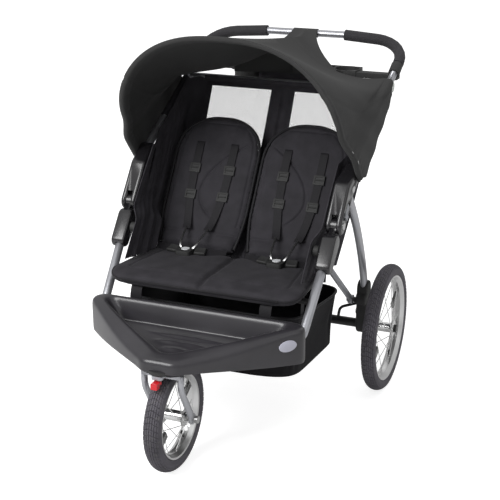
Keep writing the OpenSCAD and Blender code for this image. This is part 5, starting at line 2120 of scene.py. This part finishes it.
@dataclass
class Basket:
    """The cloth basket slung under the seat frame, with a sagging floor."""

    count: int = 128
    depth: int = 22
    halves: Twin = (264.0, 250.0)
    fronts: Twin = (-462.0, -455.0)
    rears: Twin = (-74.0, -82.0)
    long: float = 378.0
    rims: Twin = (374.0, 336.0)
    floors: Twin = (186.0, 168.0)
    power: float = 0.24

    def share(self, y: float) -> float:
        """Share of the way from front to rear."""
        return (y - self.fronts[0]) / self.long

    def rim(self, back: float) -> float:
        """Height of the rim at a share of the way from front to rear."""
        return mix(*self.rims, ease(back))

    def corner(self, t: float, level: float) -> Triple:
        """Point of the wall round the basket at a level from rim to floor.

        Args:
            t: Share of the way round, from the middle of the front.
            level: 0 at the rim, 1 at the floor.

        Returns:
            X, y and z in millimetres.
        """
        angle = 2 * math.pi * t
        c, s = math.cos(angle), math.sin(angle)
        side = squared(s, self.power)
        fore = squared(c, self.power)
        half = mix(*self.halves, level)
        y = mix(mix(*self.fronts, level), mix(*self.rears, level), 0.5 - 0.5 * fore)
        back = self.share(y)
        rim = self.rim(back)
        floor = mix(*self.floors, back) + 14.0 * abs(side) ** 3 * (1 - back)
        hollow = 13.0 * math.sin(math.pi * level)
        flat_side = 1 - abs(abs(s) - abs(c))
        draw = hollow * (1 - flat_side)
        x = side * (half - draw * (abs(s) > abs(c)))
        y += draw * 0.7 * (1 if fore > 0 else -1) * (abs(c) >= abs(s))
        fold = 2.2 * math.sin(38 * math.pi * t + 3 * level) * math.sin(math.pi * level) ** 0.7
        return x + fold * side, y - fold * fore, mix(rim, floor, level)

    def build(self) -> None:
        """Loft the walls down to the floor and bind the rim."""
        rows = []
        for j in range(self.depth):
            level = j / (self.depth - 1)
            rows.append([at(*self.corner(i / self.count, level)) for i in range(self.count)])
        middle = at(0, -268, 170)
        for share in (0.97, 0.9, 0.75, 0.55, 0.35, 0.16, 0.03):
            row = []
            for i in range(self.count):
                edge = at(*self.corner(i / self.count, 1.0))
                sag = 0.016 * (1 - share**2)
                row.append(middle + (edge - middle) * share - Vector((0, 0, sag)))
            rows.append(row)
        obj = Bench.skin("basket_bag", rows, loop=True)
        area = Bench.area(obj)
        Bench.merge(obj, 1e-6)
        Bench.apply(obj, "SOLIDIFY", thickness=0.002, offset=-1.0)
        Bench.shade(obj, 60)
        piece(obj, BASKET_CLOTH, "black_cloth", "frame")
        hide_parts("basket")
        rim = [at(*self.corner(i / self.count, 0.0)) for i in range(self.count)]
        binding = Bench.tube("basket_binding", rim, 0.0035, closed=True)
        piece(binding, PIPING, "black_cloth", "frame")
        self.loops()

    def loops(self) -> None:
        """Hang the rim from the side rails by tape loops."""
        straps = []
        for s in (-1, 1):
            for y in (-410, -300):
                rim = self.rim(self.share(y))
                path = [at(s * 256, y, rim - 14), at(s * 256, y, rim + 6), at(s * 257, y, 424)]
                for k in range(9):
                    angle = math.radians(mix(-60, 180, k / 8))
                    path.append(at(s * (258 - 8.6 * math.sin(angle) * 0.9), y, 436 - 8.6 * math.cos(angle)))
                straps.append(Bench.ribbon(f"loop_{s}_{y}", path, Vector((0, 1, 0)), 0.028))
        piece(Bench.joined("basket_loops", straps), TAPE, "webbing", "frame")


@dataclass
class Canopy:
    """The one-piece canopy: an arched sheet from the bow back to the handle, with hem, seams and flap."""

    foot: Twin = (-200.0, 717.0)
    bow_dir: Twin = (-0.4226, 0.9063)
    bow_length: float = 434.0
    forward: Twin = (-0.9911, 0.1335)
    rear_foot: Twin = (107.8, 906.1)
    rear_top: Twin = (190.0, 1028.0)
    halves: Twin = (349.8, 338.8)
    lean: float = 0.93
    bulge: float = 40.0
    skirt: float = 30.0
    ahead: float = 10.0
    upright: float = 0.18
    rounded: float = 0.64
    shoulder: float = 0.4
    fall: Twin = (0.49, -0.87)
    bar: Twin = (316.0, 1030.0)
    bar_radius: float = 12.8
    flap_halves: Twin = (40.0, 170.0)
    cols: int = 141
    rows: int = 57

    def half_arch(self, u: float) -> Twin:
        """Share of the half width and of the height along the left half of the arch."""
        if u < self.upright:
            k = self.shoulder * u / self.upright
            return mix(1.0, self.lean, ease((k - 0.16) / 0.24)), k
        t = math.pi * (u - self.upright) / self.rounded
        return self.lean * max(0.0, math.cos(t)) ** 0.8, mix(self.shoulder, 1.0, math.sin(t))

    def arch(self, u: float) -> Twin:
        """Signed share of the half width and share of the height along the whole arch."""
        if u <= 0.5:
            return self.half_arch(u)
        a, k = self.half_arch(1 - u)
        return -a, k

    def point(self, u: float, v: float, off: float = 0.0) -> Vector:
        """Point of the cover.

        Args:
            u: Along the arch from the left foot to the right, past 0 and 1 on the hanging edge.
            v: From the brim back to the handle.
            off: Outwards from the inner face.

        Returns:
            The point in metres.
        """
        a, k = self.arch(min(1.0, max(0.0, u)))
        middle = max(0.0, 1 - abs(a) / self.lean)
        tent = min(k, 0.24) * (1 - middle) ** 2 + middle**2.0
        rise = mix(k, tent, max(0.0, v) ** 1.5)
        lead = [place + way * self.ahead for place, way in zip(self.foot, self.forward)]
        low = along(lead, self.rear_foot, v)
        crown = [place + way * self.bow_length for place, way in zip(lead, self.bow_dir)]
        high = along(crown, self.rear_top, v)
        run = math.hypot(high[0] - low[0], high[1] - low[1])
        up = ((high[0] - low[0]) / run, (high[1] - low[1]) / run)
        half = mix(*self.halves, v)
        dip = 5.0 * math.sin(math.pi * v) * (0.35 + 0.65 * k)
        lift = off - dip + self.relief(u, v)
        brim = self.bulge * math.sin(math.pi * k) * (1 - v)
        drop = self.hang(u, v)
        y = low[0] + (high[0] - low[0]) * rise + up[0] * lift * k - self.bow_dir[1] * brim
        z = low[1] + (high[1] - low[1]) * rise + up[1] * lift * k + self.bow_dir[0] * brim
        return at((half + lift * abs(a)) * a, y + self.fall[0] * drop, z + self.fall[1] * drop)

    def hang(self, u: float, v: float) -> float:
        """How far the side hangs below the handle tube past the arch's foot."""
        past = max(-u, u - 1, 0.0) / 0.04
        return self.skirt * past * mix(0.08, 1.0, ease(v / 0.12)) * (1 - 0.55 * ease((v - 0.88) / 0.12))

    @staticmethod
    def seam(v: float) -> float:
        """Share of the arch where the side seam runs."""
        return 0.285 - 0.25 * v

    def panel(self, u: float, v: float) -> float:
        """Share of the lower side panel at a place."""
        return ease((self.seam(v) - min(u, 1 - u)) / 0.012 + 0.5)

    def relief(self, u: float, v: float) -> float:
        """Relief of the hem, the side seams, the puckers and the slack.

        Args:
            u: Along the arch.
            v: From the brim back.

        Returns:
            Millimetres outwards.
        """
        share = min(u, 1 - u)
        groove = -1.8 * math.exp(-(((share - self.seam(v)) / 0.005) ** 2))
        hem = 1.3 * ease((0.032 - v) / 0.006) + 1.0 * ease((v - 0.975) / 0.01)
        pucker = 1.5 * math.sin(u * 260.0) * math.exp(-(((v - 0.055) / 0.03) ** 2))
        pucker = pucker * ease((0.36 - share) / 0.1)
        wave = 1.6 * math.sin(7 * math.pi * v + 20 * u) * math.sin(math.pi * v)
        wave = wave * ease((0.34 - share) / 0.2)
        return groove + hem + pucker + wave

    def build(self) -> None:
        """Build the cover, its tape marks, its stitches and its flap."""
        past = [0.01 * k for k in range(1, 5)]
        us = [-p for p in reversed(past)] + [i / (self.cols - 1) for i in range(self.cols)]
        us += [1 + p for p in past]
        near_hems = {0.004, 0.01, 0.026, 0.03, 0.034, 0.04, 0.985}
        vs = sorted({j / (self.rows - 1) for j in range(self.rows)} | near_hems)
        hem = [(0.055, -9.5), (0.028, -9.5), (0.002, -9.5), (-0.005, -4.0)]
        lines = hem + [(v, 3.4) for v in vs]
        rows = [[self.point(u, v, off) for u in us] for v, off in lines]
        obj = Bench.skin("canopy_cloth", rows)
        marks = obj.data.attributes.new("panel", "FLOAT", "POINT")
        marks.data.foreach_set("value", [self.panel(u, v) for v, _ in lines for u in us])
        area = Bench.area(obj)
        Bench.apply(obj, "SOLIDIFY", thickness=0.002, offset=-1.0)
        Bench.shade(obj, 70)
        piece(obj, CANOPY_CLOTH, "canopy_cloth")
        self.follow(obj)
        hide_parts("canopy_cover")
        self.marks()
        self.flap()

    def follow(self, obj: Obj) -> None:
        """Bake a piece's place into its mesh."""
        self.point(0.5, 0.04)
        self.point(0.5, 0.96)
        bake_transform(obj)

    def marks(self) -> None:
        """Sew the light tape marks and the hem's stitches."""
        dashes = []
        for start, end in ((0.893, 0.902), (0.925, 0.948), (0.065, 0.078), (0.11, 0.118)):
            path = [self.point(mix(start, end, k / 6), 0.018, 5.2) for k in range(7)]
            across = [self.point(mix(start, end, k / 6), 0.03, 5.2) - path[k] for k in range(7)]
            dashes.append(Bench.ribbon(f"dash_{start}", path, across, 0.005, 0.0006))
        tape = Bench.joined("canopy_marks", dashes)
        piece(tape, REFLECTIVE, "canopy_cloth", "canopy")
        path = [self.point(i / 200, 0.0355, 3.6) for i in range(201)]
        lift = [self.point(i / 200, 0.0355, 12.0) - self.point(i / 200, 0.0355, 2.0) for i in range(201)]
        sewn = Bench.stitches("canopy_hem_stitches", path, lift)
        piece(sewn, THREAD, "canopy_cloth", "canopy")

    def reach(self, x: float) -> float:
        """Place along the arch where the rear edge is at x from the middle."""
        share = min(1.0, abs(x) / (self.halves[1] * self.lean))
        u = self.upright + self.rounded * math.acos(share ** 1.25) / math.pi
        return u if x > 0 else 1 - u

    def flap(self) -> None:
        """Bring the middle flap from the rear edge over the handlebar, with a valance hung to the tray."""
        hung = []
        y, z = self.bar
        radius = self.bar_radius
        narrow, wide = self.flap_halves
        wrap = [(y + radius * math.sin(a), z + radius * math.cos(a)) for a in np.linspace(-0.3, 3.6, 18)]
        shares = [i / 16 - 1 for i in range(33)]
        rows = []
        for k in range(25):
            share = k / 24
            half = mix(narrow, wide, (1 - share) ** 1.6)
            row = []
            for across in shares:
                low = self.point(self.reach(across * wide), 0.985, 4.6)
                high = at(across * narrow, *wrap[0])
                place = low + (high - low) * share
                place.x = across * half * MM
                place.z -= 0.010 * math.sin(math.pi * share) * (1 - across**2)
                row.append(place)
            rows.append(row)
        for y, z in wrap[1:] + [(298.0, 1019.5), (284.0, 1022.0)]:
            rows.append([at(across * narrow, y, z) for across in shares])
        for level in (0.3, 0.65, 1.0):
            edge = [place.copy() for place in rows[0]]
            for place in edge:
                place.z -= level * max(0.004, place.z - 0.926)
            hung.append(edge)
        obj, area = Bench.sheet("canopy_flap", hung[::-1] + rows, 0.002, 0.0, 70)
        piece(obj, CANOPY_CLOTH, "canopy_cloth", "handle")


@dataclass
class Fittings:
    """Bolt heads, joint covers, caps and short webbing."""

    def build(self) -> None:
        """Build the small fittings on both sides."""
        for side in Side:
            self.caps(side)
            self.joint(side)
            self.wrap(side)
        self.front_webbing()
        self.pouch()

    def caps(self, side: Side) -> None:
        """Set the cover caps of the hinge, leg and axle bolts.

        Args:
            side: Which side.
        """
        s = side.value
        out = Vector((s, 0, 0))
        housing = []
        for y, z in ((-312, 609), (-232, 693)):
            housing.append(Bench.button("cap", at(s * 336.6, y, z), out, 0.010, 0.004, 0.0015))
        piece(Bench.joined(f"hinge_caps_{side.word}", housing), AXLE_STEEL, "axle_steel", "handle")
        bolts = [Bench.button("cap", at(s * 328.8, 2, z), out, 0.0075, 0.004, 0.0014) for z in (270, 238)]
        bolts.append(Bench.button("cap", at(s * 200, -14, 196), Vector((0, -1, 0)), 0.0065, 0.005, 0.0014))
        piece(Bench.joined(f"bracket_bolts_{side.word}", bolts), AXLE_STEEL, "axle_steel", "rear_legs")
        bush = Bench.button(f"stay_bush_{side.word}", at(s * 272.6, -365, 547.8), out, 0.0148, 0.0148, 0.0015)
        piece(bush, BLACK_PLASTIC, "black_moulding", "stays")

    def joint(self, side: Side) -> None:
        """Cover the joint between handle tube and handlebar with a pale shell."""
        s = side.value
        shell = Bench.button("joint", at(s * 338.3, 133, 912.9), Vector((s, 0, 0)), 0.0165, 0.004, 0.0018)
        inner = Bench.button("joint", at(s * 313.7, 133, 912.9), Vector((-s, 0, 0)), 0.0165, 0.004, 0.0018)
        cover = Bench.joined(f"joint_cover_{side.word}", [shell, inner])
        piece(cover, JOINT_PLASTIC, "catch_plastic", "handle")

    def wrap(self, side: Side) -> None:
        """Sleeve the upper handle tube in cloth, in small rucks.

        Args:
            side: Which tube.
        """
        rows = []
        for j in range(60):
            y = mix(-58.0, 106.0, j / 59)
            z = tube_height(y)
            row = []
            for k in range(24):
                angle = 2 * math.pi * k / 24
                radius = 13.0 + 0.25 * math.sin(y / 2.6 + 2 * math.sin(angle))
                lean = radius * math.sin(angle)
                x = side.value * (326.0 + radius * math.cos(angle))
                row.append(at(x, y + TUBE_NORMAL[0] * lean, z + TUBE_NORMAL[1] * lean))
            rows.append(row)
        obj = Bench.skin(f"handle_sleeve_{side.word}", rows, loop=True)
        Bench.shade(obj, 70)
        piece(obj, BLACK_CLOTH, "black_cloth", "handle")
        f"handle_tube_{side.word}"

    def pouch(self) -> None:
        """Hang the cloth pouch of the parent tray between its cups."""
        rows = []
        for level, shrink in (
            (0.0, 1.0), (0.12, 1.0), (0.3, 0.995), (0.5, 0.99), (0.7, 0.98), (0.86, 0.95), (0.96, 0.88),
            (1.0, 0.74), (1.03, 0.5), (1.05, 0.24), (1.055, 0.04)
        ):
            row = []
            for i in range(72):
                angle = 2 * math.pi * i / 72
                c, s = math.cos(angle), math.sin(angle)
                x = squared(c, 0.3) * 120.0 * shrink
                y = 233.0 + squared(s, 0.3) * 33.0 * shrink
                ruck = 1.6 * math.sin(11 * angle + 4 * level) * math.sin(math.pi * min(1.0, level))
                row.append(at(x, y + ruck * s, 931.0 - 58.0 * level))
            rows.append(row)
        obj, area = Bench.sheet("tray_pouch", rows, 0.0018, -1.0, 60, loop=True)
        piece(obj, BLACK_CLOTH, "black_cloth", "handle")
        clips = []
        for s in (-1, 1):
            place = at(s * 128, 198, 934)
            clips.append(Bench.button("clip", place, Vector((0, -1, 0)), 0.008, 0.006, 0.0016))
        piece(Bench.joined("tray_clips", clips), CHROME, "chrome", "handle")

    def front_webbing(self) -> None:
        """Tie the seat's front edge down to the footwell with two tapes."""
        straps = []
        for s in (-1, 1):
            bends = ((-512, 440), (-524, 428), (-529, 412), (-529, 398))
            path = Harness.rounded([at(s * 193, y, z) for y, z in bends], 4)
            straps.append(Bench.ribbon(f"tie_{s}", path, ACROSS, 0.034))
        piece(Bench.joined("front_ties", straps), TAPE, "webbing", "frame")


def wheels() -> list[Wheel]:
    """The three wheels."""
    made = [Wheel("front", "front_wheel", "front_tyre", (0.0, -697.0, 153.0), 306.0, 48.0, 60)]
    for side in Side:
        body = f"rear_wheel_{side.word}"
        node = f"rear_tyre_{side.word}"
        made.append(Wheel(f"rear_{side.word}", body, node, (382.0 * side.value, 0.0, 196.0), 392.0, 44.0, 76))
    return made


def main() -> None:
    """Load the frame and build every sub-assembly in order."""
    logging.basicConfig(level=logging.INFO, format="%(message)s")
    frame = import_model()
    Studio().build()
    HardParts(frame).build()
    for wheel in wheels():
        wheel.build()
    Footwell().build()
    SeatPad().build()
    for side in Side:
        BackPad(side).build()
        SideCloth(side, ClothBack()).build()
    ClothBack().build()
    Basket().build()
    Canopy().build()
    Fittings().build()


if __name__ == "__main__":
    main()
